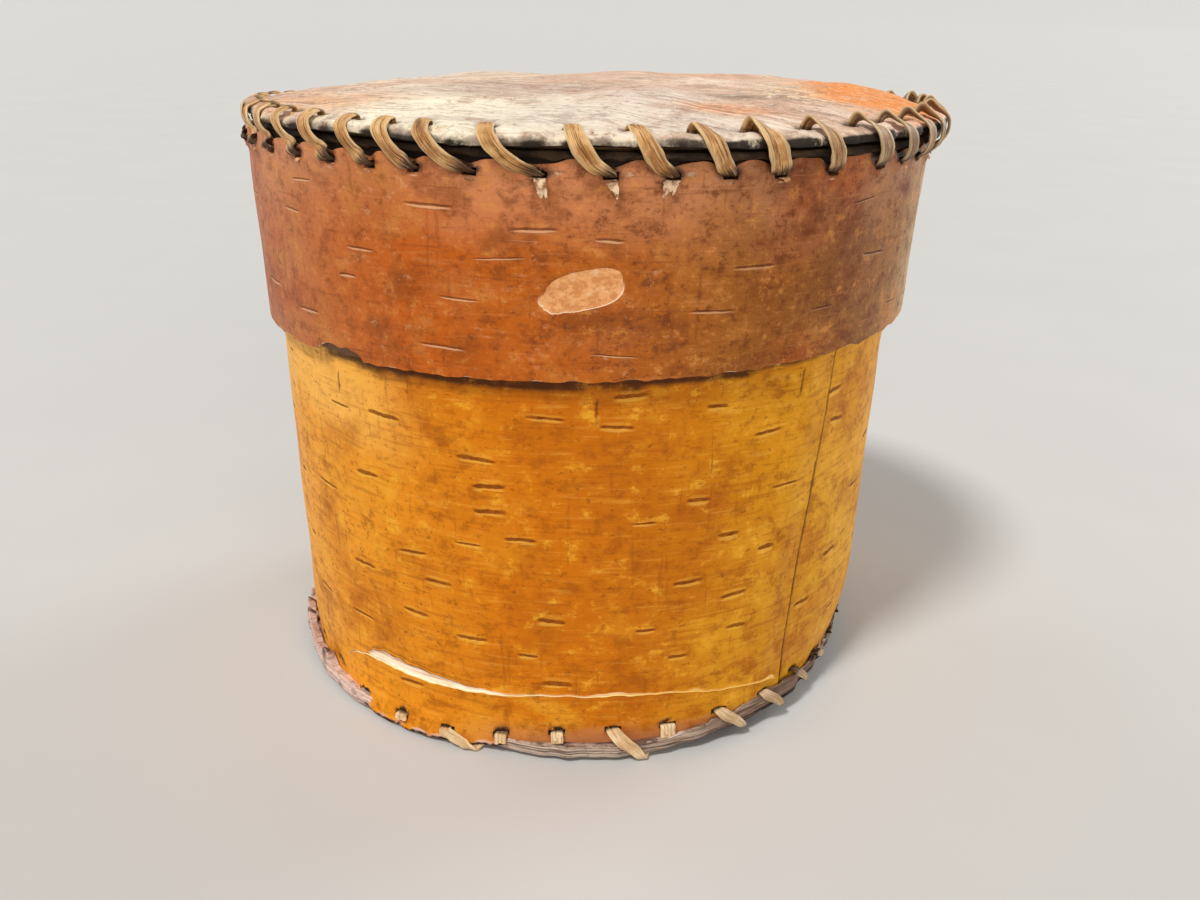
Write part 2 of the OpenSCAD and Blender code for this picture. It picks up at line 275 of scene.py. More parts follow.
class Skin:
    """Points, faces and painted values of one piece, gathered shell by shell."""

    def __init__(self, *paints):
        self.points = []
        self.faces = []
        self.paints = {name: [] for name in paints}
        self.count = 0

    def add(self, points, faces, **paint):
        points = np.asarray(points).reshape(-1, 3)
        for quads in faces:
            quads = np.asarray(quads)
            self.faces += (quads.reshape(-1, quads.shape[-1]) + self.count).tolist()
        self.points.append(points)
        self.count += len(points)
        for name, parts in self.paints.items():
            wide = 3 if name in VECTOR_PAINTS else 1
            values = np.asarray(paint.get(name, [0.0] * wide), float)
            parts.append(np.broadcast_to(values.reshape(-1, wide), (len(points), wide)))

    def sheet(self, face, back, ring=False, cut=None, pole=False, **paint):
        """A sheet between two grids of points. Cut cells stay open, and a pole closes the last row."""
        rows, columns = face.shape[:2]
        count = rows * columns
        near = np.arange(count).reshape(rows, columns)
        if ring:
            near = np.hstack([near, near[:, :1]])
        far = near + count
        solid = np.ones((rows - 1, near.shape[1] - 1), bool)
        if cut is not None:
            solid &= ~cut
        faces = [cells(near)[solid], cells(far)[solid][:, ::-1]]
        beside = np.pad(solid, 1)
        if ring:
            beside[1:-1, 0] = solid[:, -1]
            beside[1:-1, -1] = solid[:, 0]
        points = [face.reshape(-1, 3), back.reshape(-1, 3)]
        if pole:
            beside[-1, 1:-1] = True
            points += [face[-1].mean(0)[None], back[-1].mean(0)[None]]
            for edge, tip in ((near[-1], 2 * count), (far[-1][::-1], 2 * count + 1)):
                faces.append(np.stack([edge[:-1], edge[1:], np.full(len(edge) - 1, tip)], -1))
        sides = (
            (beside[:-2, 1:-1], (0, 0), (0, 1)),
            (beside[1:-1, 2:], (0, 1), (1, 1)),
            (beside[2:, 1:-1], (1, 1), (1, 0)),
            (beside[1:-1, :-2], (1, 0), (0, 0)),
        )
        r, c = np.indices(solid.shape)
        for neighbour, start, end in sides:
            open_side = solid & ~neighbour
            p = (r[open_side] + start[0], c[open_side] + start[1])
            q = (r[open_side] + end[0], c[open_side] + end[1])
            faces.append(np.stack([near[q], near[p], far[p], far[q]], -1))
        if pole:
            for name, values in paint.items():
                tips = np.stack([values[count - 1], values[-1]])
                paint[name] = np.concatenate([values, tips])
        self.add(np.concatenate(points), faces, **paint)

    def strip(self, path, across, widths, thicks, closed=False, **paint):
        """A flat root swept along a path, with a crowned outer face and a flat inner one."""
        ends = np.roll(path, -1, 0) - np.roll(path, 1, 0)
        if not closed:
            ends[0] = path[1] - path[0]
            ends[-1] = path[-1] - path[-2]
        along = ends / np.linalg.norm(ends, axis=1, keepdims=True)
        across = across - (across * along).sum(1, keepdims=True) * along
        across = across / np.linalg.norm(across, axis=1, keepdims=True)
        out = np.cross(along, across)
        rings = (path[:, None]
            + across[:, None] * (ROOT_SECTION[:, 0] * widths[:, None] / 2)[..., None]
            + out[:, None] * (ROOT_SECTION[:, 1] * thicks[:, None] / 2)[..., None])
        count, sides = rings.shape[:2]
        number = np.arange(count * sides).reshape(count, sides)
        number = np.hstack([number, number[:, :1]])
        if closed:
            faces = [cells(np.vstack([number, number[:1]]))]
        else:
            cap = np.arange(1, sides - 1)
            first = np.stack([0 * cap, cap + 1, cap], -1)
            last = np.stack([0 * cap, cap, cap + 1], -1) + (count - 1) * sides
            faces = [cells(number), first, last]
        length = np.concatenate([[0], np.cumsum(np.linalg.norm(np.diff(path, axis=0), axis=1))])
        grain = np.stack(np.broadcast_arrays(length[:, None], ROOT_SECTION[:, 0] * widths[:, None] / 2,
            ROOT_SECTION[:, 1]), -1)
        each = {name: np.repeat(np.asarray(values, float), sides) for name, values in paint.items()}
        self.add(rings, faces, grain=grain, **each)


VECTOR_PAINTS = ("mark", "patch", "grain")


def cells(grid):
    """Corners of each cell of a grid of point numbers."""
    return np.stack([grid[:-1, :-1], grid[:-1, 1:], grid[1:, 1:], grid[1:, :-1]], -1)


def rounded(count, wide_power, tall_power):
    """Points of a rounded box, from -1 to 1 both ways."""
    turns = np.arange(count) * 2 * math.pi / count
    wide = np.sign(np.cos(turns)) * np.abs(np.cos(turns)) ** wide_power
    tall = np.sign(np.sin(turns)) * np.abs(np.sin(turns)) ** tall_power
    return wide, tall


def root_section():
    """Outline of the root, from -1 to 1 both ways: rounded edges, a crown outside, flat inside."""
    wide, deep = rounded(18, 0.55, 0.75)
    crown = 1 - 0.3 * wide ** 2
    return np.stack([wide, np.where(deep > 0, deep * crown, deep * 0.85)], -1)


ROOT_SECTION = root_section()


def stand(name, data):
    """Puts an object with this data into the scene."""
    made = bpy.data.objects.new(name, data)
    bpy.context.scene.collection.objects.link(made)
    return made


def piece(name, skin, finish, body, slot, *nodes, sharp=42):
    """Makes a mesh object of a skin, which stands for CAD nodes and rides on a body."""
    mesh = bpy.data.meshes.new(name)
    mesh.from_pydata(np.concatenate(skin.points).tolist(), [], skin.faces)
    for paint, parts in skin.paints.items():
        values = np.concatenate(parts).astype(np.float32).ravel()
        if paint in VECTOR_PAINTS:
            mesh.attributes.new(paint, "FLOAT_VECTOR", "POINT").data.foreach_set("vector", values)
        else:
            mesh.attributes.new(paint, "FLOAT", "POINT").data.foreach_set("value", values)
    work = bmesh.new()
    work.from_mesh(mesh)
    bmesh.ops.delete(work, geom=[v for v in work.verts if not v.link_faces], context="VERTS")
    bmesh.ops.recalc_face_normals(work, faces=work.faces)
    work.to_mesh(mesh)
    work.free()
    mesh.shade_smooth()
    mesh.set_sharp_from_angle(angle=sharp * DEG)
    mesh.materials.append(finish.material)
    made = stand(name, mesh)
    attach(made, body)
    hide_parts(*nodes)


def rungs(guides, steps):
    """Rows between guide lines, with so many steps from each to the next, and the row of each guide."""
    rows = []
    for low, high, count in zip(guides, guides[1:], steps):
        rows += [low + (high - low) * k / count for k in range(count)]
    return np.array(rows + [guides[-1]]), np.cumsum([0] + steps)


def through(points, per):
    """A smooth line through points, with so many steps between each two."""
    p = np.vstack([2 * points[0] - points[1], points, 2 * points[-1] - points[-2]])
    t = np.arange(per)[:, None, None] / per
    a, b, c, d = p[:-3], p[1:-2], p[2:-1], p[3:]
    line = b + 0.5 * t * (c - a + t * (2 * a - 5 * b + 4 * c - d + t * (3 * (b - c) + d - a)))
    return np.vstack([line.transpose(1, 0, 2).reshape(-1, points.shape[1]), points[-1:]])


def along_wall(a, drop=0.0):
    """Directions along the wall at angles a, level or dropping by a share."""
    return np.stack(np.broadcast_arrays(np.cos(a), np.sin(a), -drop), -1)


def both(values):
    """Painted values for a sheet's face, and the same for its back."""
    return np.tile(values.ravel(), 2)


def on_back(grid):
    """Painted values for a sheet: 0 on its face and 1 on its back."""
    return np.repeat([0.0, 1.0], grid.size)


def face_only(vectors, back=0.0):
    """Painted vectors for a sheet's face, and one value all over its back."""
    vectors = vectors.reshape(-1, 3)
    return np.vstack([vectors, np.full(vectors.shape, back)])


# Shading


def tint(red, green, blue):
    """Linear colour of an ordinary screen colour from 0 to 255."""
    parts = []
    for part in (red, green, blue):
        part = part / 255
        parts.append(part / 12.92 if part <= 0.04045 else ((part + 0.055) / 1.055) ** 2.4)
    return (*parts, 1)


class Tone:
    """A socket in a node tree. Arithmetic on it adds Math nodes."""

    def __init__(self, nodes, socket):
        self.nodes = nodes
        self.socket = socket

    def maths(self, operation, *terms):
        return self.nodes.node("ShaderNodeMath", {"operation": operation}, dict(enumerate(terms)))

    def other(self, name):
        return Tone(self.nodes, self.socket.node.outputs[name])

    def __add__(self, other):
        return self.maths("ADD", self, other)

    def __sub__(self, other):
        return self.maths("SUBTRACT", self, other)

    def __rsub__(self, other):
        return self.maths("SUBTRACT", other, self)

    def __mul__(self, other):
        return self.maths("MULTIPLY", self, other)

    def __truediv__(self, other):
        return self.maths("DIVIDE", self, other)

    def __pow__(self, other):
        return self.maths("POWER", self, other)

    def __abs__(self):
        return self.maths("ABSOLUTE", self)

    __radd__ = __add__
    __rmul__ = __mul__


class Nodes:
    """The node tree of a material or a world, with one way to add any node."""

    def __init__(self, data):
        data.use_nodes = True
        self.tree = data.node_tree

    def node(self, kind, settings=None, sockets=None, output=0):
        made = self.tree.nodes.new(kind)
        for name, value in (settings or {}).items():
            if name == "stops":
                self.set_stops(made.color_ramp.elements, value)
            else:
                setattr(made, name, value)
        for name, value in (sockets or {}).items():
            self.plug(made.inputs[name], value)
        return Tone(self, made.outputs[output])

    def set_stops(self, elements, stops):
        for k, (at, colour) in enumerate(stops):
            stop = elements[k] if k < 2 else elements.new(at)
            stop.position = at
            stop.color = colour

    def plug(self, socket, value):
        if isinstance(value, Tone):
            self.tree.links.new(value.socket, socket)
        else:
            socket.default_value = value


class Finish(Nodes):
    """One procedural material, with short names for the nodes that bark and root need."""

    def __init__(self, name, gloss=0.25):
        self.material = bpy.data.materials.new(name)
        super().__init__(self.material)
        self.surface = self.tree.nodes["Principled BSDF"]
        self.surface.inputs["Specular IOR Level"].default_value = gloss
        self.place = self.node("ShaderNodeTexCoord", output="Object")

    def stretched(self, scales, shift=0):
        shifts = (shift, shift * 0.7, shift * 1.3)
        return self.node("ShaderNodeVectorMath", {"operation": "MULTIPLY_ADD"},
            {0: self.place, 1: scales, 2: shifts})

    def noise(self, scales, detail=3, rough=0.55, shift=0, spot=None):
        """Cloudy values about 0.5, with so many clouds to the metre along each axis."""
        where = spot or self.stretched(scales, shift)
        return self.node("ShaderNodeTexNoise", None,
            {"Vector": where, "Scale": 1, "Detail": detail, "Roughness": rough})

    def between(self, value, low, high):
        """0 at low, 1 at high and smooth between them."""
        return self.node("ShaderNodeMapRange", {"interpolation_type": "SMOOTHSTEP"},
            {0: value, 1: low, 2: high, 3: 0, 4: 1})

    def blend(self, share, first, second):
        return self.node("ShaderNodeMix", {"data_type": "RGBA"}, {0: share, 6: first, 7: second}, 2)

    def coats(self, colour, *coats):
        """Lays coats over a colour. Each is a mask and a tint, or a value, low, high, a share and a tint."""
        colour = self.shade(colour)
        for *mask, over in coats:
            if len(mask) > 1:
                value, low, high, share = mask
                mask = [self.between(value, low, high) * share]
            colour = self.blend(mask[0], colour, self.shade(over))
        return colour

    def shade(self, colour):
        """A colour as a socket or a linear value, from a Tone or a screen colour."""
        return colour if isinstance(colour, Tone) else tint(*colour)

    def ramp(self, value, stops):
        return self.node("ShaderNodeValToRGB", {"stops": stops}, {0: value})

    def paint(self, name, output="Fac"):
        return self.node("ShaderNodeAttribute", {"attribute_name": name}, output=output)

    def split(self, vector):
        x = self.node("ShaderNodeSeparateXYZ", None, {0: vector})
        return x, x.other("Y"), x.other("Z")

    def round_share(self):
        """Where a point lies round the box, from 0 at the back over 0.5 at the front to 1."""
        x, y = self.split(self.place)[:2]
        return x.maths("ARCTAN2", x, 0 - y) / (2 * math.pi) + 0.5

    def show(self, colour, rough, height, strength, distance=0.4 * MM):
        bump = self.node("ShaderNodeBump", None,
            {"Strength": strength, "Distance": distance, "Height": height})
        self.plug(self.surface.inputs["Base Color"], colour)
        self.plug(self.surface.inputs["Roughness"], rough)
        self.plug(self.surface.inputs["Normal"], bump)
        return self

    def mark_masks(self, rag):
        """Dark line of a bark mark, the pale rim below it, which is a painted highlight on the mark's lower
        lip, and a fainter pale rim above it.
        """
        along, over, there = self.split(self.paint("mark", "Vector"))
        over = over + (rag - 0.5) * 1.8
        reach = along * along
        inked = self.between(there, 0.96, 0.99)
        line = self.between(reach * reach + over * over, 1.2, 0.4) * inked
        below = over + 1.7
        above = over - 1.9
        lit_rim_below = self.between(reach + below * below / 1.6, 1.2, 0.3) * inked
        high_rim = self.between(reach + above * above / 1.2, 1.0, 0.3) * inked
        return line, lit_rim_below, high_rim


def round_stops(colours):
    """Ramp stops for colours given by degrees round from the front."""
    return [(angle / 360 + 0.5, tint(*colour)) for angle, colour in colours]


def wall_bark():
    """Amber bark of the wall: yellower at the right, with a painted highlight at the upper left and painted
    light on its left side, torn pale at the split.
    """
    f = Finish("wall_bark", 0.14)
    share = f.round_share()
    z = f.split(f.place)[2]
    # The ramp is lightest at the left, as painted light falling on that side.
    warm = f.ramp(share, round_stops([
        (-180, (204, 126, 14)), (-110, (218, 140, 32)), (-74, (248, 172, 60)), (-42, (234, 148, 26)),
        (-10, (204, 112, 0)), (8, (198, 110, 0)), (24, (208, 131, 4)), (46, (220, 151, 10)),
        (70, (216, 147, 12)), (110, (206, 132, 10)), (180, (204, 126, 14))]))
    clouds = f.noise((15, 15, 18), 4, 0.6)
    patches = f.noise((46, 46, 54), 5, 0.64, 23)
    mottle = f.noise((130, 130, 170), 8, 0.74, 2)
    grain = f.noise((70, 70, 900), 4, 0.6, 3)
    flecks = f.noise((430, 430, 560), 4, 0.7, 11)
    strokes = f.noise((520, 520, 46), 4, 0.65, 7)
    fibres = f.noise((70, 70, 1100), 4, 0.65, 13)
    drift = clouds - 0.5
    yellow = f.between(share, 0.52, 0.6) * f.between(share, 0.94, 0.78)
    yellow = yellow * f.between(z + drift * (90 * MM), 84 * MM, 36 * MM)
    # Painted highlight: a pale patch at the upper left.
    painted_highlight = f.between(share, 0.44, 0.38) * f.between(share, 0.06, 0.24)
    painted_highlight = painted_highlight * f.between(z + drift * (60 * MM), 74 * MM, 94 * MM)
    calm = 1 - 0.65 * painted_highlight
    brushed = f.between(strokes, 0.58, 0.7) * f.between(patches, 0.42, 0.56)
    damp = f.between(z + (mottle - 0.5) * (14 * MM), FOOT_Z + 6 * MM, FOOT_Z - 1 * MM)
    damp = damp * f.between(share, 0.42, 0.5) * f.between(share, 0.7, 0.6)
    line, lit_rim_below, high_rim = f.mark_masks(f.noise((330, 330, 420), 3, 0.6, 5))
    ink = f.coats((104, 44, 2), (flecks, 0.4, 0.6, 1, (142, 74, 10)))
    yellowed = f.between(share, 0.47, 0.56)
    cream = f.coats((255, 238, 212), (fibres, 0.42, 0.66, 1, (222, 168, 122)),
        (z, 6 * MM, 3 * MM, 0.85, (208, 160, 138)), (yellowed * 0.7, (255, 218, 120)))
    # The lip colour is the pale torn edge under the split, brightened as a painted highlight on its upper
    # edge.
    lip = f.coats((255, 232, 168), (yellowed, (255, 214, 108)))
    grime = f.paint("grime") * (0.6 + 0.4 * f.between(mottle, 0.3, 0.55))
    soot = f.paint("soot") * f.between(f.noise((330, 330, 330), 4, 0.65, 17), 0.26, 0.6)
    inner = f.coats((206, 158, 102), (grain, 0.35, 0.65, 1, (172, 118, 66)))
    colour = f.coats(warm,
        (yellow * 0.65, (230, 170, 36)),
        (painted_highlight * 0.9, (255, 188, 84)),
        (clouds, 0.48, 0.66, calm * 0.5, (184, 96, 0)),
        (clouds, 0.46, 0.3, 0.55, (230, 158, 34)),
        (patches, 0.5, 0.68, calm * 0.55, (174, 90, 0)),
        (patches, 0.46, 0.3, 0.5, (236, 168, 42)),
        (mottle, 0.5, 0.63, calm * 0.6, (156, 78, 0)),
        (mottle, 0.46, 0.33, 0.6, (242, 178, 50)),
        (grain, 0.53, 0.68, 0.4, (156, 80, 4)),
        (grain, 0.45, 0.3, 0.22, (244, 184, 74)),
        (flecks, 0.57, 0.69, 0.58, (130, 62, 2)),
        (brushed * 0.5, (140, 70, 8)),
        (damp * 0.75, (180, 116, 80)),
        # Painted highlight: pale rims below the marks, and fainter pale rims above them.
        (lit_rim_below * 0.4, (248, 190, 78)),
        (high_rim * 0.25, (242, 180, 66)),
        (line * 0.85, ink),
        (f.paint("crack"), 0.3, 0.7, 1, cream),
        (f.paint("wear"), 0.3, 0.8, 1, lip),
        # Painted shade: the next dark coat darkens dirt in the cracks and smudges and also paints the shade
        # under the lid's mouth, along the seam and under the split's upper edge; the near-black coat after it
        # paints the shade round the holes and along the foot's bottom edge.
        (grime, 0.05, 0.85, 0.92, (66, 30, 6)),
        (soot, 0.2, 0.75, 1, (48, 27, 12)),
        (f.paint("inside"), inner))
    rough = 0.4 + 0.22 * mottle + 0.2 * line
    height = 0.3 * grain + 0.35 * flecks + 0.5 * mottle - 0.35 * line + 0.2 * lit_rim_below
    return f.show(colour, rough, height, 0.55)


def band_bark():
    """Red-brown bark of the lid's band: leathery towards the right, dull above, bare in one patch."""
    f = Finish("band_bark", 0.2)
    share = f.round_share()
    z = f.split(f.place)[2]
    # The pale stop at the far right partly paints the rim light along that edge.
    warm = f.ramp(share, round_stops([
        (-180, (158, 86, 32)), (-110, (172, 104, 56)), (-72, (182, 112, 72)), (-46, (188, 104, 48)),
        (-26, (188, 88, 6)), (0, (180, 90, 8)), (20, (154, 88, 22)), (40, (134, 80, 30)),
        (56, (150, 102, 48)), (72, (200, 168, 112)), (120, (160, 96, 46)), (180, (158, 86, 32))]))
    clouds = f.noise((17, 17, 22), 4, 0.6)
    patches = f.noise((56, 56, 62), 5, 0.66, 23)
    mottle = f.noise((180, 180, 220), 8, 0.76, 2)
    grain = f.noise((60, 60, 900), 5, 0.65, 3)
    flecks = f.noise((520, 520, 640), 5, 0.72, 11)
    strokes = f.noise((560, 560, 60), 4, 0.65, 7)
    dust = f.noise((300, 300, 420), 5, 0.7, 19)
    high = f.between(z + (clouds - 0.5) * (60 * MM), LID_FOOT_Z + 22 * MM, LID_TOP_Z - 2 * MM)
    dull = f.between(share, 0.5, 0.6) * f.between(share, 0.98, 0.84)
    upper = f.coats((212, 142, 98), (dull, (176, 120, 86)))
    leathery = f.between(share, 0.42, 0.56) * f.between(share, 0.98, 0.8)
    pale = f.between(dust, 0.58, 0.68) * f.between(clouds, 0.5, 0.4)
    line, lit_rim_below = f.mark_masks(f.noise((330, 330, 420), 3, 0.6, 5))[:2]
    faint = f.between(share, 0.62, 0.5)
    sideways, upward = f.split(f.paint("patch", "Vector"))[:2]
    torn_end = f.between(sideways + upward * 0.4, 0.3, -1.0)
    ragged = (f.noise((330, 330, 330), 4, 0.65, 29) - 0.5) * torn_end * 1.1
    corner = f.between(sideways, 0, -1) * f.between(upward, -0.2, 0.9) * 0.55
    oval = abs(sideways) ** 3 + abs(upward) ** 3 + ragged + corner
    bare = f.between(oval, 1.0, 0.94)
    rim = f.between(oval, 1.16, 1.0) * f.between(upward, 0.2, -0.5)
    flesh = f.coats((232, 166, 106), (flecks, 0.42, 0.6, 1, (206, 134, 78)),
        (dust, 0.52, 0.7, 0.6, (244, 200, 152)), (mottle, 0.54, 0.66, 0.25, (180, 106, 56)))
    tear = f.noise((420, 420, 420), 4, 0.65, 13)
    torn = f.coats((234, 202, 166), (tear, 0.4, 0.6, 1, (144, 92, 56)))
    wear = f.paint("wear") + (tear - 0.5) * 0.7
    # The near-black coat paints the shade round the holes and in the hollows above them.
    soot = f.paint("soot") * f.between(f.noise((330, 330, 330), 4, 0.65, 17), 0.22, 0.58)
    inner = f.coats((150, 116, 86), (grain, 0.35, 0.65, 1, (108, 78, 54)))
    colour = f.coats(warm,
        (high * 0.7, upper),
        (clouds, 0.5, 0.66, 0.6, (178, 80, 10)),
        (clouds, 0.45, 0.3, 0.45, (172, 106, 62)),
        (patches, 0.5, 0.66, 0.5 + 0.22 * leathery, (122, 58, 10)),
        (patches, 0.46, 0.32, 0.55, (200, 128, 58)),
        (mottle, 0.5, 0.64, 0.5 + 0.32 * leathery, (108, 50, 8)),
        (mottle, 0.46, 0.34, 0.5 + 0.15 * leathery, (214, 140, 66)),
        (grain, 0.55, 0.7, 0.4, (108, 52, 14)),
        (grain, 0.44, 0.3, 0.25, (212, 140, 82)),
        (flecks, 0.56, 0.68, 0.4 + 0.25 * leathery, (92, 42, 8)),
        (flecks, 0.43, 0.3, 0.3, (226, 150, 78)),
        (strokes, 0.58, 0.7, 0.35, (108, 52, 16)),
        (pale * 0.28, (232, 176, 128)),
        # Painted highlight: a pale rim below each mark.
        (lit_rim_below * (0.12 + 0.43 * faint), (240, 186, 138)),
        (line * (0.85 - 0.2 * faint), (88, 38, 8)),
        (bare, flesh),
        (rim * (1 - bare), (255, 222, 182)),
        (wear, 0.42, 0.72, 1, torn),
        (soot, 0.15, 0.8, 1, (42, 22, 10)),
        (f.paint("inside"), inner))
    rough = 0.36 + 0.24 * mottle + 0.2 * line + 0.25 * bare
    height = 0.35 * grain + 0.4 * flecks + 0.5 * mottle - 0.5 * line + 0.5 * lit_rim_below - 0.8 * bare
    return f.show(colour, rough, height, 0.6)


def inner_bark():
    """The smooth reddish-tan inside of the bark, for the neck and the lid's inner ply."""
    f = Finish("inner_bark")
    clouds = f.noise((24, 24, 30), 4, 0.6)
    streaks = f.noise((40, 40, 520), 5, 0.6, 3)
    specks = f.noise((420, 420, 700), 3, 0.6, 11)
    line = f.mark_masks(f.noise((800, 800, 600), 3, 0.6, 5))[0]
    colour = f.coats((206, 160, 106),
        (clouds, 0.35, 0.65, 1, (176, 122, 70)),
        (streaks, 0.5, 0.72, 0.6, (140, 90, 48)),
        (specks, 0.6, 0.74, 0.4, (112, 70, 38)),
        (line * 0.75, (104, 62, 34)),
        # Darker near the band's mouth, which paints the shade in the chip, and at the neck's rim edge;
        # near-black as painted shade at the top of the lid's inner ply, under the discs.
        (f.paint("wear"), 0.3, 0.8, 0.85, (98, 68, 44)),
        (f.paint("soot"), (36, 24, 14)))
    height = 0.4 * streaks + 0.25 * specks - 0.4 * line
    return f.show(colour, 0.5 + 0.2 * clouds, height, 0.4)


def outer_bark():
    """White outer bark of the top disc: cream and streaky, with tan, grey and orange patches, a painted
    highlight at the front left and painted glints.
    """
    f = Finish("outer_bark", 0.2)
    x, y = f.split(f.place)[:2]
    clouds = f.noise((20, 20, 20), 4, 0.6)
    warp = f.noise((26, 26, 26), 2, 0.5, 31)
    grain = f.node("ShaderNodeMapping", {"vector_type": "TEXTURE"},
        {"Vector": f.place, "Rotation": (0, 0, -26 * DEG), "Scale": (1 / 20, 1 / 700, 1 / 20)})
    bent = f.node("ShaderNodeVectorMath", {"operation": "ADD"}, {0: grain, 1: warp * 5})
    streaks = f.noise(None, 6, 0.7, spot=bent)
    smudges = f.noise((60, 60, 60), 6, 0.7, 21)
    mottle = f.noise((120, 120, 120), 8, 0.74, 5)
    specks = f.noise((640, 640, 640), 4, 0.65, 9)
    scrawl = f.noise((330, 330, 330), 5, 0.7, 15)
    spread = (mottle - 0.5) * 2 + (clouds - 0.5) * 1.4

    def patch(at_x, at_y, wide, deep):
        """1 in a ragged oval about a place in mm, fading at its edge."""
        dx = (x - at_x * MM) / (wide * MM)
        dy = (y - at_y * MM) / (deep * MM)
        return f.between((dx * dx + dy * dy) ** 0.5 + spread, 1.5, 0.5)

    orange = patch(76, -24, 17, 30)
    weathered = f.coats((232, 212, 182), (mottle, 0.42, 0.6, 1, (128, 108, 90)),
        (specks, 0.54, 0.68, 0.6, (74, 60, 46)))
    # The near-black coat paints shade under the rolled edge, in the dimples at the slots and where the
    # strands pinch the edge, beside dirt and dark grey bark on the edge.
    soot = f.paint("soot") * f.between(mottle, 0.24, 0.52)
    under = f.coats((182, 132, 84), (streaks, 0.4, 0.62, 1, (142, 92, 54)))
    colour = f.coats((232, 204, 178),
        (clouds, 0.36, 0.66, 1, (212, 172, 144)),
        # Painted highlight: the pale patch at the front left, where the light falls on the dome.
        (patch(-34, -78, 44, 30) * 0.9, (255, 244, 214)),
        (patch(4, -78, 32, 22) * 0.7, (228, 212, 194)),
        (patch(-52, -34, 20, 14) * 0.7, (248, 234, 208)),
        (patch(-72, -48, 22, 18) * 0.75, (230, 174, 126)),
        (patch(-22, -36, 26, 14) * 0.55, (172, 144, 132)),
        (patch(16, -52, 18, 12) * 0.5, (222, 210, 198)),
        (patch(33, -66, 12, 6) * 0.8, (230, 150, 92)),
        (patch(43, -48, 14, 6) * 0.8, (116, 92, 78)),
        (patch(56, -38, 18, 16) * 0.65, (186, 140, 108)),
        (scrawl, 0.5, 0.56, patch(58, -34, 14, 22) * 0.85, (250, 222, 178)),
        (orange * 0.95, (232, 142, 60)),
        (patch(44, 34, 44, 30) * 0.5, (216, 156, 118)),
        (patch(-50, 40, 44, 34) * 0.6, (236, 216, 190)),
        (smudges, 0.52, 0.68, 0.5, (150, 122, 106)),
        (mottle, 0.51, 0.65, 0.6, (166, 124, 100)),
        (mottle, 0.46, 0.33, 0.45, (250, 232, 208)),
        (streaks, 0.51, 0.65, 0.58, (150, 118, 100)),
        (streaks, 0.46, 0.36, 0.5, (254, 246, 228)),
        (orange * 0.5, (234, 138, 48)),
        (specks, 0.57, 0.69, 0.55, (100, 76, 60)),
        # The pale specks are painted glints.
        (specks, 0.44, 0.34, 0.35, (255, 248, 234)),
        (f.paint("wear"), 0.2, 0.9, 0.8, weathered),
        (soot, 0.1, 0.75, 1, (44, 34, 26)),
        (f.paint("inside"), under))
    height = 0.7 * streaks + 0.6 * mottle + 0.3 * specks
    return f.show(colour, 0.5 + 0.25 * clouds, height, 0.7)


def dark_bark():
    """The lid's second disc, near-black brown, which partly paints the shade in the recess under the top
    disc's edge, and flaking at its edge.
    """
    f = Finish("dark_bark", 0.2)
    layers = f.noise((40, 40, 1200), 4, 0.65, 3)
    mottle = f.noise((170, 170, 170), 5, 0.7, 5)
    inner = f.coats((184, 136, 88), (mottle, 0.35, 0.65, 1, (146, 98, 58)))
    colour = f.coats((34, 22, 10),
        (mottle, 0.4, 0.62, 1, (66, 46, 26)),
        (layers, 0.58, 0.74, 0.5, (96, 70, 42)),
        (f.paint("inside"), inner))
    return f.show(colour, 0.6 + 0.25 * mottle, 0.8 * layers + 0.5 * mottle, 0.6)


def base_bark():
    """Weathered base plies: pale and fibrous at the left and the front, grey-brown at the right."""
    f = Finish("base_bark", 0.2)
    share = f.round_share()
    clean = f.between(share, 0.41, 0.37) * f.between(share, 0.16, 0.22)
    edge = f.ramp(share, round_stops([
        (-180, (140, 108, 88)), (-96, (188, 152, 138)), (-66, (210, 180, 166)), (-44, (226, 194, 178)),
        (-30, (206, 176, 156)), (0, (188, 166, 146)), (20, (166, 142, 122)), (33, (124, 98, 80)),
        (66, (116, 90, 72)), (100, (140, 108, 88)), (180, (140, 108, 88))]))
    layers = f.noise((44, 44, 1300), 4, 0.65, 3)
    mottle = f.noise((140, 140, 220), 6, 0.7, 5)
    specks = f.noise((600, 600, 900), 4, 0.65, 9)
    # The near-black coat darkens the plies in patches, and as painted shade the lower ply beneath the top
    # one.
    soot = f.paint("soot") + (mottle - 0.5) * 0.5
    colour = f.coats((150, 114, 88),
        (mottle, 0.38, 0.62, 1, (100, 74, 60)),
        (f.paint("wear"), 0.3, 0.8, 1, edge),
        (layers, 0.5, 0.6, 0.8 - 0.3 * clean, (82, 56, 46)),
        (layers, 0.46, 0.36, 0.5, (240, 218, 196)),
        (mottle, 0.54, 0.68, 0.6, (86, 58, 46)),
        (specks, 0.58, 0.7, 0.5, (64, 44, 36)),
        (soot, 0.3, 0.75, 1, (30, 22, 18)))
    height = 0.8 * layers + 0.5 * mottle + 0.3 * specks
    return f.show(colour, 0.6 + 0.25 * mottle, height, 0.6)


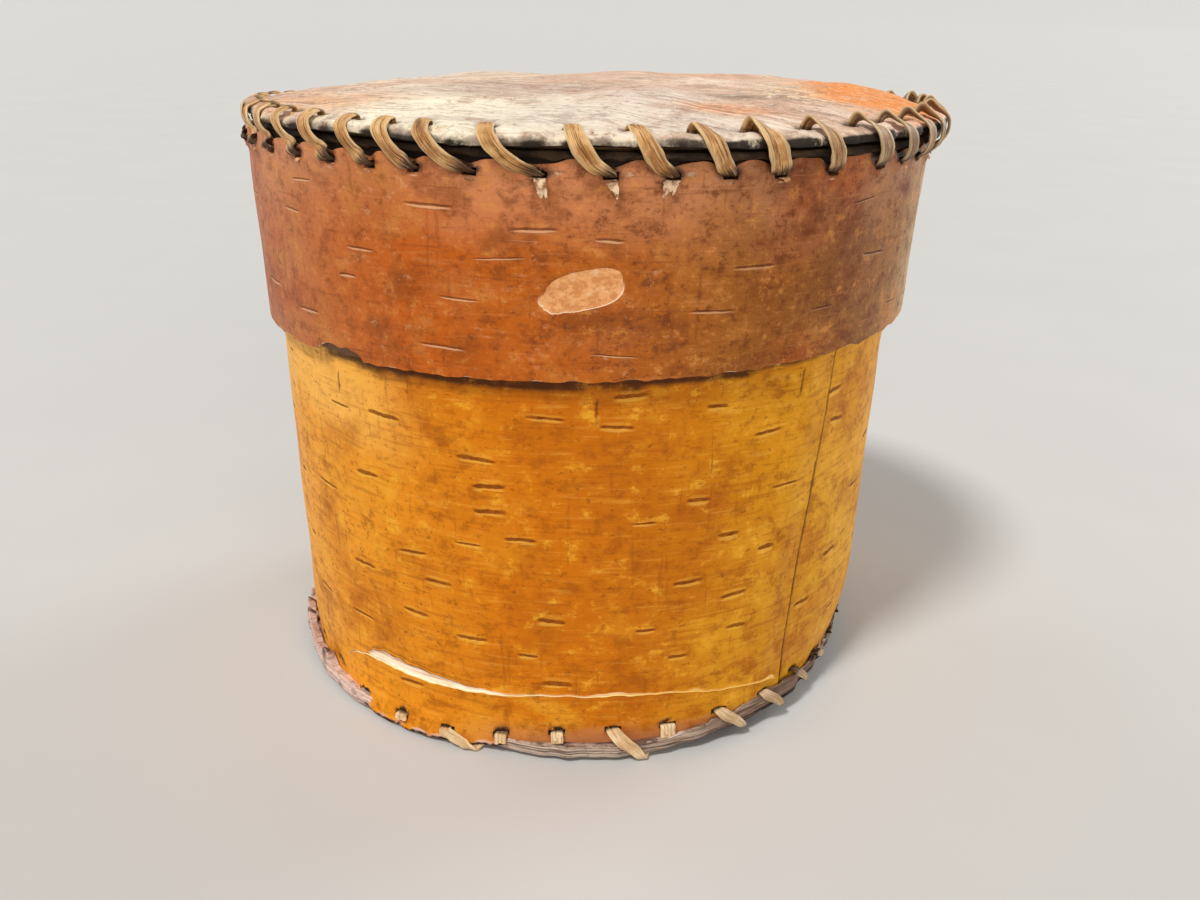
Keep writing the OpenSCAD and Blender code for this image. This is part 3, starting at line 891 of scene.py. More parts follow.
def root_finish(name, pale, straw, dark, streaky):
    """Split root: long grain streaks on straw, darker where it is old, and with painted shade where it goes
    into a hole or under an edge.
    """
    f = Finish(name, 0.3)
    grain = f.paint("grain", "Vector")
    across = f.split(grain)[1]
    lines = f.node("ShaderNodeVectorMath", {"operation": "MULTIPLY"}, {0: grain, 1: (150, 2400, 0.6)})
    fibre = f.noise(None, 5, 0.7, spot=lines)
    blotch = f.noise((150, 150, 150), 4, 0.6, 5)
    # The near-black coat is painted shade where the root goes into a hole or down under an edge.
    soot = f.paint("soot") * f.between(fibre, 0.1, 0.55)
    colour = f.coats(pale,
        (blotch, 0.38, 0.62, 1, straw),
        (f.paint("age"), (128, 100, 76)),
        (fibre, 0.5, 0.62, streaky, dark),
        (fibre, 0.45, 0.34, 0.5, (248, 226, 186)),
        (abs(across), 1.2 * MM, 1.9 * MM, 0.45, (244, 216, 164)),
        (soot, 0.1, 0.95, 1, (58, 34, 16)))
    return f.show(colour, 0.4 + 0.25 * fibre, fibre, 0.9)


def withe():
    """Split withe of the hoop, with grain along its length."""
    f = Finish("withe")
    grain = f.noise((60, 60, 1700), 4, 0.65, 3)
    blotch = f.noise((50, 50, 120), 3, 0.6, 5)
    colour = f.coats((196, 148, 96),
        (blotch, 0.36, 0.64, 1, (160, 108, 62)),
        (grain, 0.52, 0.68, 0.65, (112, 70, 38)))
    return f.show(colour, 0.45 + 0.2 * grain, grain, 0.5)


# Bark marks

WALL_MARK_T = 0.68 * MM
BAND_MARK_T = 0.34 * MM
MARK_ROOM = 3.2 * MM
WALL_MARK_ROOM = 2.6 * MM
MARK_END = 2.2 * MM
FAR = 9
SEEDED_TRIES = 900
SEEDED_APART = 6 * MM
SEEDED_FROM = 58 * DEG

# Marks of the wall and the band that stand out at the front: degrees, height and length in mm
WALL_MARKS = [
    (-6, 98, 10), (-17, 86, 11), (-15, 79, 9), (-15, 72, 9), (-10, 65, 9), (-19, 62, 8), (-30, 56, 10),
    (-39, 75, 9), (-52, 66, 11), (-34, 93, 11), (-27, 96, 10), (-45, 92, 9), (-42, 47, 10), (5, 96, 9),
    (7, 104, 9), (21, 100, 6), (31, 91, 9), (37, 85, 8), (48, 97, 8), (50, 88, 8), (36, 75, 10), (19, 75, 7),
    (10, 70, 7), (25, 64, 7), (33, 58, 6), (18, 52, 9), (27, 46, 9), (54, 46, 8), (-25, 49, 9), (-5, 42, 8),
    (-19, 34, 10), (-30, 38, 9), (-44, 30, 10), (11, 39, 6), (28, 36, 7), (-9, 31, 6), (17, 30, 6),
    (-4, 23, 9), (-32, 15, 9), (46, 34, 8)]
BAND_MARKS = [
    (-46, 150, 9), (-50, 142, 8), (-34, 136, 9), (-37, 129, 6), (-48, 117, 10), (-22, 148, 13), (-7, 144, 11),
    (-12, 137, 13), (-18, 127, 10), (-21, 115, 13), (3, 142, 7), (4, 115, 12), (24, 135, 12), (18, 125, 12),
    (49, 134, 12), (44, 148, 11), (37, 123, 8)]


def bark_marks(seed, seen, low, high, longest):
    """The marks seen at the front and seeded ones elsewhere, none closer than their room."""
    pick = np.random.default_rng(seed)
    marks = [(a * DEG, z * MM, length * MM) for a, z, length in seen]
    for trial in range(SEEDED_TRIES):
        a = pick.uniform(-math.pi, math.pi)
        z = pick.uniform(low, high)
        length = pick.uniform(0.35, 1) * longest
        marks.append((a, z, length))
    kept = []
    for k, (a, z, length) in enumerate(marks):
        seeded = k >= len(seen)
        if seeded and abs(a) < SEEDED_FROM:
            continue
        apart = SEEDED_APART if seeded else 0
        clear = all(abs(z - other_z) > 2 * MARK_ROOM + apart
            or abs(turn(a - other_a)) * COLLAR_R > (length + other) / 2 + 2 * MARK_END + apart
            for other_a, other_z, other in kept)
        if clear:
            kept.append((a, z, length))
    return kept


def mark_paint(a, z, radius, marks, seed, thick=WALL_MARK_T, room=MARK_ROOM):
    """Each point's place by its nearest mark, in half lengths and half heights, and 1 if it has one."""
    pick = np.random.default_rng(seed)
    field = np.zeros(a.shape + (3,))
    field[..., :2] = FAR
    for at, height, length in marks:
        tilt = pick.normal(0, 0.04)
        half_t = thick * pick.uniform(0.45, 1.05)
        along = radius * turn(a - at)
        over = z - height - tilt * along
        near = (np.abs(along) < length / 2 + MARK_END) & (np.abs(over) < room)
        spot = np.stack([along / (length / 2), over / half_t, np.ones_like(a)], -1)
        field[near] = spot[near]
    return field


def open_cells(count, angles, rows, starts, width):
    """Cells of a grid with so many rows that are left open for the root, in some rows at each start angle."""
    cut = np.zeros((count, len(angles) - 1), bool)
    step = angles[1] - angles[0]
    for start in starts:
        for whole in (-2, -1, 0, 1):
            column = int(round((start + whole * 2 * math.pi - angles[0]) / step - width / 2))
            if 0 < column and column + width < len(angles) - 1:
                cut[rows[0]:rows[1], column:column + width] = True
    return cut


def nearness(a, z, radius, starts, height, width, tall):
    """1 at a hole and fading round it, for holes at the start angles."""
    total = np.zeros(np.broadcast(a, z).shape)
    for start in starts:
        aside = radius * turn(a - start)
        total = np.maximum(total, np.exp(-(aside / width) ** 2 - ((z - height) / tall) ** 2))
    return total


def near_holes(a, z, radius, height, holes):
    """A function for nearness to holes, which takes mm above them, the width and the height of the fade."""
    def near(rise, wide, tall, spots=holes):
        return nearness(a, z, radius, spots, height + rise * MM, wide * MM, tall * MM)
    return near


# Box

wall_holes = [BASE_FIRST + BASE_PITCH * (j + BASE_SLANT) for j in range(BASE_STITCHES)]
base_slots = [BASE_FIRST + BASE_PITCH * j for j in range(BASE_STITCHES)]
tie_angles = [SEAM + 2 * math.pi * (i + 0.5) / TIES for i in range(TIES)]

# Degrees by which the front stitches stray from an even spacing, at the disc and at the band
SLOT_STRAY = {
    5: -1, 6: -0.5, 7: -0.5, 8: -2, 9: -4, 10: -3, 12: 0.1, 13: 0.2, 14: 0.2, 15: 1.3, 16: 2.5, 17: 1.5}
HOLE_STRAY = {
    6: -0.6, 7: -1.6, 8: -2.4, 9: -2.6, 10: -1.6, 11: -0.4, 12: -0.6, 13: -0.9, 14: -1.5, 15: -0.2, 16: 2,
    17: 1.5}
stray = np.random.default_rng(11).normal(0, 0.6, (LID_STITCHES, 2))
disc_slots = [LID_FIRST + LID_PITCH * i + SLOT_STRAY.get(i, stray[i, 0]) * DEG
    for i in range(LID_STITCHES)]
band_holes = [LID_FIRST + LID_PITCH * (i + LID_SLANT) + HOLE_STRAY.get(i, stray[i, 1]) * DEG
    for i in range(LID_STITCHES)]

# The split in the outer layer above the base: degrees and mm, for the height of its lower edge and its gape
SPLIT_LINE = [
    (-58, 17.5), (-51, 12.2), (-49, 14.6), (-46.5, 16), (-43, 17.4), (-38, 17.7), (-34, 17.5), (-28, 16.9),
    (-20, 17.4), (-12, 17.9), (-8, 18.8), (-3, 19.5), (6, 19.5), (11, 19.2), (18, 19), (21.5, 17.6),
    (26, 16.7), (37, 14.8), (40.5, 12.8), (43, 15)]
SPLIT_GAPE = [
    (-51, 0.1), (-43.6, 0.2), (-41.5, 2.4), (-38, 3.6), (-34, 3.7), (-28, 2.8), (-24, 2), (-19, 1.2),
    (-12, 0.3), (-8, 0.1), (1, 0.1), (4, 0.6), (9, 0.5), (12, 0.1), (19, 0.1), (21, 0.6), (23, 0.1),
    (36, 0.1), (38.5, 0.8), (41, 0.1)]

# How far the wall's foot and its holes, and the base's rim, stand above their even heights, and how far the
# foot flares: degrees and mm
FOOT_SHIFT = [
    (-64, 0), (-56, -1), (-50, -2.4), (-44, -3.8), (-40, -4.4), (-30, -4.6), (-22, -4.2), (-15, -3.5),
    (-10, -1.6), (-4, -1.3), (4, -0.2), (16, -0.4), (24, 0.8), (32, 1.6), (42, 2.6), (55, 3.7), (75, 3.9),
    (100, 2.4), (130, 0)]
RIM_SHIFT = [
    (-70, 0), (-56, -1), (-44, -1.8), (-20, -1.3), (8, -1.3), (16, -0.4), (24, 0.8), (32, 1.6), (42, 2.6),
    (55, 3.7), (75, 3.9), (100, 2.4), (130, 0)]
FOOT_FLARE = [
    (-64, 0), (-56, 0.5), (-50, 1.2), (-44, 2.2), (-38, 3.1), (-26, 3), (-16, 2.2), (-9, 0.8), (0, 0)]
FOOT_TUCK = [(42, 0), (50, 0.8), (58, 2), (68, 2.8), (90, 2.8), (112, 1), (130, 0)]
HOLE_DROP = [(46, 0), (55, 1.8), (125, 1.8), (135, 0)]

# Radius of the base's edge, and how far its upper ply curls up outside the wall: degrees and mm
BASE_EDGE = [
    (-180, 88.6), (-130, 88.6), (-100, 89), (-66, 90), (-56, 90.3), (-48, 90.2), (-42, 89.4), (-34, 87),
    (-16, 87), (-10, 88.6), (-2, 89.6), (10, 89.4), (20, 88.8), (32, 88), (43, 87.4), (51, 85.9), (58, 84.9),
    (68, 84.1), (90, 84.1), (112, 85.8), (130, 86.8), (165, 88.6), (180, 88.6)]
BASE_LIP = [
    (-180, 1.3), (-104, 1.3), (-92, 2), (-58, 2.3), (-47, 1.9), (-40, 0.5), (-34, 0.3), (16, 0.3), (24, 1.2),
    (36, 3.2), (44, 3), (51, 0.6), (56, 0), (130, 0), (150, 1.3), (180, 1.3)]

# Upright cracks in the wall: degrees, and the heights in mm of their lower and upper ends
WALL_CRACKS = [(1.5, 96, 104), (-44.5, 96, 101), (33, 99, 106), (57, 70, 78), (61, 93, 99)]

# Brown smudges on the wall: degrees, height, half length and half height in mm
WALL_SMUDGES = [
    (41, 20, 6, 1.2), (9.5, 62, 5, 2), (-23, 90, 2, 5), (12, 92, 1.5, 3), (-13, 57, 5, 1.3), (40, 88, 4, 1.5)]


def by_degrees(a, points):
    """Metres at angles a, from a list of degrees and mm."""
    angles, values = zip(*points)
    return np.interp(a / DEG, angles, values) * MM


def foot_flare(a, z):
    """How far the wall stands out near its foot at the front left, and in at the right."""
    out = by_degrees(turn(a), FOOT_FLARE) * np.clip((FLARE_TOP - z) / FLARE_H, 0, 1) ** 1.3
    return out - by_degrees(turn(a), FOOT_TUCK) * np.clip((TUCK_TOP - z) / TUCK_H, 0, 1) ** 2


def hole_rise(a):
    """How far the wall's holes stand above their even height."""
    return by_degrees(turn(a), FOOT_SHIFT) - by_degrees(turn(a), HOLE_DROP)


def outer_sheet():
    """The wall's outer sheet: from under its own flap once round to the side seam."""
    a = np.arange(FLAP - 2 * math.pi - LAP, FLAP + 0.1 * DEG, WALL_STEP)
    split = ease(a, -51.5 * DEG, -50 * DEG) * ease(a, FLAP - 0.5 * DEG, FLAP - 2 * DEG)
    gape = by_degrees(a, SPLIT_GAPE) * split
    soft = np.convolve(np.pad(by_degrees(a, SPLIT_LINE), 2, "edge"), np.ones(5) / 5, "valid")
    split_low = soft + (0.09 * ply_nicks(a, 0) + 0.05 * edge_nicks(a, 0)) * MM * split
    split_high = split_low + 0.1 * MM + gape * (1 + 0.03 * ply_nicks(a, 7))
    shift = by_degrees(turn(a), FOOT_SHIFT)
    foot = FOOT_Z + np.minimum(shift, by_degrees(turn(a), RIM_SHIFT)) + 0.15 * MM * ply_nicks(a, 0)
    hole = np.minimum(WALL_HOLE_Z + hole_rise(a), split_low - 2.6 * MM)
    guides = [foot, hole - SLOT_T / 2, hole + SLOT_T / 2, np.minimum(hole + 2 * MM, split_low - 1 * MM),
        split_low - 0.5 * MM, split_low - 0.14 * MM, split_low, split_high, split_high + 0.14 * MM,
        split_high + 0.6 * MM, COLLAR_Z * np.ones_like(a)]
    z, row = rungs(guides, [5, 3, 2, 5, 2, 1, 2, 1, 2, 56])
    under_lip, lip, gap_low, gap_high, upper_lip, above_lip = row[4:10]
    lean = FLAP_LEAN * np.clip((z - LEAN_FROM) / (COLLAR_Z - LEAN_FROM), 0, 1)
    around = a + lean * bell(turn(a - FLAP), 24 * DEG)
    past = np.clip(FLAP - a - (2 * math.pi - DIVE), 0, DIVE)
    inset = (SHEET_T + 0.05 * MM) * 0.5 * (1 - np.cos(math.pi * past / DIVE))
    by_holes = near_holes(around, z - hole_rise(a), FOOT_R, WALL_HOLE_Z, wall_holes)
    lift = np.zeros_like(z)
    lift[under_lip] = 0.16 * MM * split
    lift[lip] = 0.3 * MM * split
    lift[gap_low:gap_high + 1] = -0.35 * MM * split
    lift[upper_lip] = 0.1 * MM * split + 0.1 * gape
    r = wall_r(z) - inset + wall_uneven(around, z) + foot_flare(around, z)
    ragged = 1 - 0.85 * side(around, 46, 54, 130, 150)
    torn = 0.35 * MM * by_holes(0, 3.4, 2.6) * ragged * bark_dents(around * 3, z * 6)
    pull = -0.35 * MM * by_holes(-1.6, 3, 1.6)
    skived = 1.1 * MM * ease(a, FLAP - 7 * DEG, FLAP)
    face = place(r + lift + torn + pull - skived, around, z + 0.4 * torn)
    back = place(r - SHEET_T, around, z)
    cut = open_cells(len(z) - 1, a, row[1:3], wall_holes, WALL_SLOT)
    broken = [wall_holes[j] for j in BROKEN + list(LOST)]
    # Painted shade round the wall's holes, darker at the broken ones.
    soot = np.maximum(0.8 * by_holes(0.3, 2.6, 1.5), by_holes(0.7, 2.8, 1.9, broken))
    low_foot = ease(shift, -1.5 * MM, -3 * MM)
    scraps = 0.5 + 0.22 * ply_nicks(a, 9)
    crack = scraps * ease(z - foot, 1.7 * MM, 0.9 * MM) * low_foot
    # Painted shade in a thin line along the bottom of the foot, where the foot drops at the front.
    soot = np.maximum(soot, 0.9 * ease(z - foot, 0.7 * MM, 0.3 * MM) * low_foot)
    crack[gap_low:gap_high + 1] = split
    # The split's lower lip is pale: torn fibres, with a painted highlight where its upper edge faces the
    # light.
    wear = np.zeros_like(z)
    wear[lip] = split
    # Painted shade, with some dirt: a thin dark line on the sheet just past the flap's edge, where the step
    # of the seam casts its shadow.
    below_flap = np.abs(a - (FLAP - 2 * math.pi))
    grime = 0.95 * ease(below_flap, 1.3 * DEG, 0.6 * DEG) * np.ones_like(z)
    # Painted shadow: a dark band on the wall just under the lid's mouth, wider at the front, stands for the
    # shadow that the lid's edge casts, and stays when the lid is lifted.
    front = ease(a, -54 * DEG, -38 * DEG) * ease(a, 62 * DEG, 10 * DEG)
    under_lid = mouth_z(around) - z
    shade = (0.6 + 2.2 * front + 0.15 * ply_nicks(a, 2)) * MM
    lid_shadow = ease(under_lid, shade + 0.7 * MM, shade - 0.3 * MM) * ease(under_lid, -4 * MM, -1 * MM)
    grime = np.maximum(grime, lid_shadow * (0.5 + 0.38 * front))
    # Painted shade under the split's upper edge, darkest where it gapes most.
    grime[upper_lip] = np.maximum(grime[upper_lip], 0.9 * ease(gape, 0.6 * MM, 1.6 * MM))
    grime[above_lip] = np.maximum(grime[above_lip], 0.5 * ease(gape, 0.8 * MM, 2 * MM))
    for at, low, high in WALL_CRACKS:
        column = np.argmin(np.abs(a - at * DEG))
        upright = (z[:, column] > low * MM) & (z[:, column] < high * MM)
        grime[upright, column] = 0.7
    for at, height, half_w, half_h in WALL_SMUDGES:
        smudge = nearness(around, z, COLLAR_R, [at * DEG], height * MM, half_w * MM, half_h * MM)
        grime = np.maximum(grime, 0.32 * smudge)
    marks = bark_marks(21, WALL_MARKS, FOOT_Z + 16 * MM, COLLAR_Z - 10 * MM, 10 * MM)
    skin = Skin("mark", "soot", "wear", "crack", "grime", "inside")
    mark = mark_paint(around, z, COLLAR_R, marks, 22, room=WALL_MARK_ROOM)
    skin.sheet(face, back, cut=cut, inside=on_back(z), mark=face_only(mark),
        soot=both(soot), wear=both(wear), crack=both(crack), grime=both(grime))
    piece("outer_sheet", skin, wall_bark(), "box", "wall_bark", "wall_sheet")


def neck_sheet(finish):
    """The inner sheet, which stands up inside the lid as a neck."""
    half_gap = BUTT_GAP / 2 / NECK_R
    a = np.linspace(SEAM + math.pi + half_gap, SEAM + 3 * math.pi - half_gap, NECK_COLUMNS + 1)
    flat = np.ones_like(a)
    slot_low = TIE_SLOT_Z - TIE_T / 2 - TIE_GAP
    slot_high = TIE_SLOT_Z + TIE_T / 2 + TIE_GAP
    rim = RIM_Z + 0.12 * MM * (ply_nicks(a, 0) - 1.5)
    guides = [neck_low.z * flat, COLLAR_Z * flat, slot_low * flat, slot_high * flat, rim]
    z, row = rungs(guides, [36, 22, 2, 7])
    around = np.broadcast_to(a, z.shape)
    tuck = np.minimum(foot_flare(around, z), 0)
    r = np.minimum(wall_r(z), COLLAR_R) - LINING_IN + wall_uneven(around, z) + tuck
    cut = open_cells(len(z) - 1, a, row[2:4], tie_angles, TIE_SLOT)
    edge = bell(z - RIM_Z, 0.8 * MM)
    marks = bark_marks(31, [], neck_low.z + 6 * MM, COLLAR_Z + 30 * MM, 9 * MM)
    paint = mark_paint(around, z, NECK_R, marks, 32).reshape(-1, 3)
    skin = Skin("mark", "wear")
    skin.sheet(place(r, around, z), place(r - LINING_T, around, z), cut=cut,
        mark=np.vstack([paint, paint]), wear=both(edge))
    piece("neck_sheet", skin, finish, "box", "inner_bark", "wall_lining")


def rim_binding(finish, root):
    """The hoop inside the mouth, and the ties that bind it to the neck."""
    a = np.linspace(0, 2 * math.pi, HOOP_COLUMNS, endpoint=False)
    wide, tall = rounded(14, 0.4, 0.3)
    r = HOOP_R - HOOP_T / 2 + wide[:, None] * HOOP_T / 2 * (1 - 0.06 * (1 + bark_dents(a, 0)))
    middle = (hoop_low.z + hoop_high.z) / 2
    z = middle + tall[:, None] * (hoop_high.z - hoop_low.z) / 2 * (1 - 0.03 * (1 + out_of_round(a, 0)))
    grid = place(r, a, z)
    number = np.arange(grid.shape[0] * grid.shape[1]).reshape(grid.shape[:2])
    number = np.vstack([number, number[:1]])
    number = np.hstack([number, number[:, :1]])
    skin = Skin()
    skin.add(grid, [cells(number)])
    piece("mouth_hoop", skin, finish, "box", "withe", "rim_hoop")

    pick = np.random.default_rng(41)
    reach = TIE_GAP + TIE_T / 2
    inner = HOOP_R - HOOP_T - reach
    outer = NECK_R + reach
    low = hoop_low.z - reach
    high = RIM_Z + reach
    bend = 0.7 * MM
    half_way = (low + high) / 2
    loop = np.array([(inner, low + bend), (inner, half_way), (inner, high - bend), (inner + bend, high),
        (outer - bend, high), (outer, high - bend), (outer, half_way), (outer, low + bend),
        (outer - bend, low), (inner + bend, low)])
    r, z = through(np.vstack([loop, loop[:1]]), 5)[:-1].T
    sway = np.sin(np.arange(len(r)) * 2 * math.pi / len(r))
    skin = Skin("grain", "soot", "age")
    for angle in tie_angles:
        path = place(r, angle + pick.normal(0, 0.25) * MM / NECK_R * sway, z)
        widths = np.full(len(r), TIE_W * pick.uniform(0.85, 1.0))
        skin.strip(path, along_wall(angle), widths, np.full(len(r), TIE_T), closed=True)
    piece("mouth_ties", skin, root, "box", "base_root", "rim_ties", sharp=60)


def lip_height(a):
    """How far the base's upper ply curls up outside the wall's foot, ragged at the left."""
    ragged = 1 + 0.62 * ply_nicks(a, 1) * ease(turn(a), -44 * DEG, -56 * DEG)
    return by_degrees(turn(a), BASE_LIP) * ragged


def base_edge(a):
    """Radius of the base's uneven edge."""
    return by_degrees(turn(a), BASE_EDGE)


def base_plies(finish):
    """The base's two plies: flat in the middle, drawn up at the rim, laced through slots."""
    a = np.arange(-math.pi, math.pi - 1e-6, WALL_STEP)
    closed = np.append(a, a[-1] + WALL_STEP)
    slope_r = REST_R + RISE_W
    slot_out = BASE_SLOT_R + SLOT_T / 2
    slot_in = BASE_SLOT_R - SLOT_T / 2
    flat = np.ones_like(a)
    lip = lip_height(turn(a))
    frayed = 0.22 * MM * edge_nicks(a, 0)
    edge = base_edge(a) + 0.14 * MM * ply_nicks(a, 0)
    low_edge = base_edge(a) - 0.2 * MM + 0.16 * MM * ply_nicks(a, 4)
    sunk = by_degrees(a, RIM_SHIFT)
    foot_r = np.minimum(FOOT_R + 0.3 * MM, edge - 1.1 * MM)
    # Dark patches on the top ply at the left.
    gaps = 0.05 + 0.55 * side(a, -116, -100, -60, -50) * ease(ply_nicks(a, 9), 0.6, 1.5)

    def disc(name, z, face_rim, back_rim, soot, wear, node):
        """A ply from its rim, given as (radius, height) lines for both faces, to its middle."""
        inward = [(foot_r - 0.3 * MM, sunk), (slot_out + 2.5 * MM, 0.6 * sunk), (slot_out, 0), (slot_in, 0),
            (slope_r, 0), (REST_R, -BASE_RISE), (1 * MM, -BASE_RISE)]
        steps = [2, 2, 2, 3, 3, 10]
        radii, row = rungs([r * flat for r, drop in inward], steps)
        drops = rungs([drop * flat for r, drop in inward], steps)[0]
        face_r = np.vstack([r * flat for r, height in face_rim] + [radii])
        face_z = np.vstack([height + sunk for r, height in face_rim] + [z + BASE_PLY + BASE_RISE + drops])
        back_r = np.vstack([r * flat for r, height in back_rim] + [radii])
        back_z = np.vstack([height + sunk for r, height in back_rim] + [z + BASE_RISE + drops])
        rim_rows = len(face_rim)
        cut = open_cells(len(face_r) - 1, closed, rim_rows + row[2:4], base_slots, WALL_SLOT)
        fade = np.zeros_like(face_r)
        fade[:rim_rows] = 1
        fade[rim_rows:rim_rows + 2] = 0.5
        skin = Skin("wear", "soot")
        skin.sheet(place(face_r, a, face_z), place(back_r, a, back_z), ring=True, cut=cut, pole=True,
            wear=both(wear * fade), soot=both(soot * flat * np.ones_like(fade)))
        piece(name, skin, finish, "box", "base_bark", node)

    under = rim_top_z - BASE_PLY
    tip = rim_top_z + lip + frayed
    disc("base_top_ply", BASE_PLY,
        [(edge - 0.3 * MM, tip), (edge - 0.5 * MM, tip - 0.05 * MM), (edge - 0.75 * MM, tip - 0.25 * MM),
            (foot_r + 0.15 * MM, rim_top_z + 0.6 * lip), (foot_r + 0.1 * MM, rim_top_z + 0.3 * lip),
            (foot_r, rim_top_z + 0.05 * MM)],
        [(edge - 0.05 * MM, tip - 0.12 * MM), (edge, rim_top_z + 0.5 * lip),
            (edge - 0.22 * MM, rim_top_z - 0.1 * MM), (edge + 0.02 * MM, rim_top_z - 0.35 * MM),
            (edge, under + 0.25 * MM), (edge - 0.5 * MM, under + 0.02 * MM)],
        gaps, 1.0, "base_upper")
    # The lower ply is darker all over, more at the right, as painted shade beneath the top ply.
    disc("base_low_ply", 0,
        [(low_edge, under - 0.3 * MM), (low_edge - 0.2 * MM, under - 0.1 * MM),
            (low_edge - 0.6 * MM, under - 0.02 * MM)],
        [(low_edge + 0.05 * MM, BASE_RISE + 0.7 * MM), (low_edge - 0.1 * MM, BASE_RISE + 0.3 * MM),
            (low_edge - 0.6 * MM, BASE_RISE)],
        0.4 + 0.25 * side(a, 20, 36, 130, 150), 0.8, "base_lower")


def base_lacing(root):
    """Root stitches from the base's slots under its edge to the wall's holes, whole and broken."""
    pick = np.random.default_rng(51)
    inside_r = wall_r(WALL_HOLE_Z) - 2 * SHEET_T - 2.5 * MM
    widths = np.array([0.8, 0.8, 0.75, 0.65, 0.65, 0.75, 0.9, 1.02, 1, 0.9, 0.85])

    def hole_at(angle):
        """Height of a hole, and the radius of the wall there."""
        z = WALL_HOLE_Z + float(hole_rise(angle))
        return z, FOOT_R + float(foot_flare(angle, z))

    def stitch(j):
        """Stops along one stitch: radius, angle, height, width and thickness."""
        swell = pick.uniform(0, 0.2) * MM
        bend = (wall_holes[j] + base_slots[j]) / 2
        hole_z, wall = hole_at(wall_holes[j])
        foot_z = FOOT_Z + float(by_degrees(turn(bend), FOOT_SHIFT))
        edge = max(float(base_edge(bend)), FOOT_R + float(foot_flare(bend, foot_z)))
        low = min(BASE_RISE + float(by_degrees(turn(bend), RIM_SHIFT)), foot_z)
        under = max(low - 0.75 * MM, 0.65 * MM)
        flat = 1 - 0.8 * float(side(bend, 38, 52, 130, 150))
        narrow = 1 - 0.34 * float(side(bend, 14, 46, 130, 150))
        swell = swell * flat
        stops = [
            (BASE_SLOT_R, rim_top_z + 1.2 * MM, 0), (BASE_SLOT_R, BASE_RISE + BASE_PLY, 0),
            (BASE_SLOT_R + 1 * MM, BASE_RISE - 0.85 * MM, 0.02),
            (edge - 3.5 * MM, (under + BASE_RISE) / 2, 0.12), (edge - 0.5 * MM, under, 0.22),
            (edge + 0.65 * MM * flat + swell, low + 0.5 * MM, 0.34),
            (edge + 0.7 * MM * flat + swell, low + 0.42 * (hole_z - low), 0.54),
            (edge + 0.6 * MM * flat + swell, low + 0.75 * (hole_z - low), 0.8),
            (wall + 0.9 * MM * flat, hole_z + 0.1 * MM, 1), (wall - 1.5 * MM, hole_z + 0.1 * MM, 1.02),
            (inside_r, hole_z, 1.02)]
        wide = widths * ROOT_W * narrow * pick.normal(0.96, 0.06)
        return [(r, BASE_FIRST + BASE_PITCH * (j + share * BASE_SLANT), z, w, flat * ROOT_T)
            for (r, z, share), w in zip(stops, wide)]

    def strand(skin, run):
        """Adds a run of stitches in one root."""
        r, a, z, wide, thick = through(np.array([stop for j in run for stop in stitch(j)]), 6).T
        wall = FOOT_R + foot_flare(a, z)
        # Painted shade where the stitch goes into the wall's hole.
        dark = bell(z - WALL_HOLE_Z - hole_rise(a), 1.2 * MM) * ease(r, wall + 1 * MM, wall)
        age = 0.5 * ease(np.sin(a), 0.25, 0.75) + 0.05
        skin.strip(place(r, a, z), along_wall(a), wide, thick, soot=dark, age=age)

    for name, runs, node in (("base_lacing_right", [RIGHT_RUN], "base_root_right"),
            ("base_lacing_left", [LEFT_RUN], "base_root_left"),
            ("base_lacing_singles", [[j] for j in WHOLE], "base_root_singles")):
        skin = Skin("grain", "soot", "age")
        for run in runs:
            strand(skin, run)
        piece(name, skin, root, "box", "base_root", node, sharp=60)

    skin = Skin("grain", "soot", "age")
    for j in BROKEN:
        hole_z, wall = hole_at(wall_holes[j])
        size = STUB_SIZES.get(j, 1)
        for aside, wide in ((0, 3.3), (-1.1, 1.1), (0.9, 1.3)):
            angle = wall_holes[j] + aside * MM / FOOT_R
            drop = pick.uniform(1.4, 2.6) * size * MM
            out = (0.75 if aside else 0.6) * MM
            stops = np.array([(inside_r, hole_z), (wall - 1 * MM, hole_z),
                (wall + 0.4 * MM, hole_z - 0.1 * MM), (wall + out, hole_z - 0.5 * drop),
                (wall + out + 0.3 * MM, hole_z - drop)])
            r, z = through(stops, 6).T
            lean = np.linspace(0, pick.uniform(-0.2, 0.9) * MM / FOOT_R, len(r))
            across = np.full(len(r), wide * max(1, size) * MM)
            thick = np.full(len(r), STUB_T)
            # Painted shade where the stub goes into the wall's hole.
            dark = 0.6 * ease(r, wall + 0.5 * MM, wall - 0.2 * MM)
            skin.strip(place(r, angle + lean, z), along_wall(angle), across, thick, soot=dark)
    piece("base_stubs", skin, root, "box", "base_root", "base_root_stubs", sharp=60)


# Lid

# The lid's mouth isn't cut square: it drops to the left and a little to the front
MOUTH_SLOPE_X = 0.0271
MOUTH_SLOPE_Y = 0.011
BIG_TEARS = (10, 11, 12)
CHIP_AT = -41 * DEG
CHIP_W = 8.5 * MM
CHIP_H = 2.6 * MM
PATCH_AT = -0.7 * DEG
PATCH_Z = 130.3 * MM
PATCH_W = 9.4 * MM
PATCH_H = 4.6 * MM
PATCH_TILT = 0.2


def mouth_z(a):
    """Height of the lid's mouth."""
    return LID_FOOT_Z + BAND_FOOT_R * (MOUTH_SLOPE_X * np.sin(a) - MOUTH_SLOPE_Y * np.cos(a))


def stitch_angle(share):
    """Angles at which the lid's stitches have gone a share of their slant."""
    return [slot + share * (hole - slot) for slot, hole in zip(disc_slots, band_holes)]


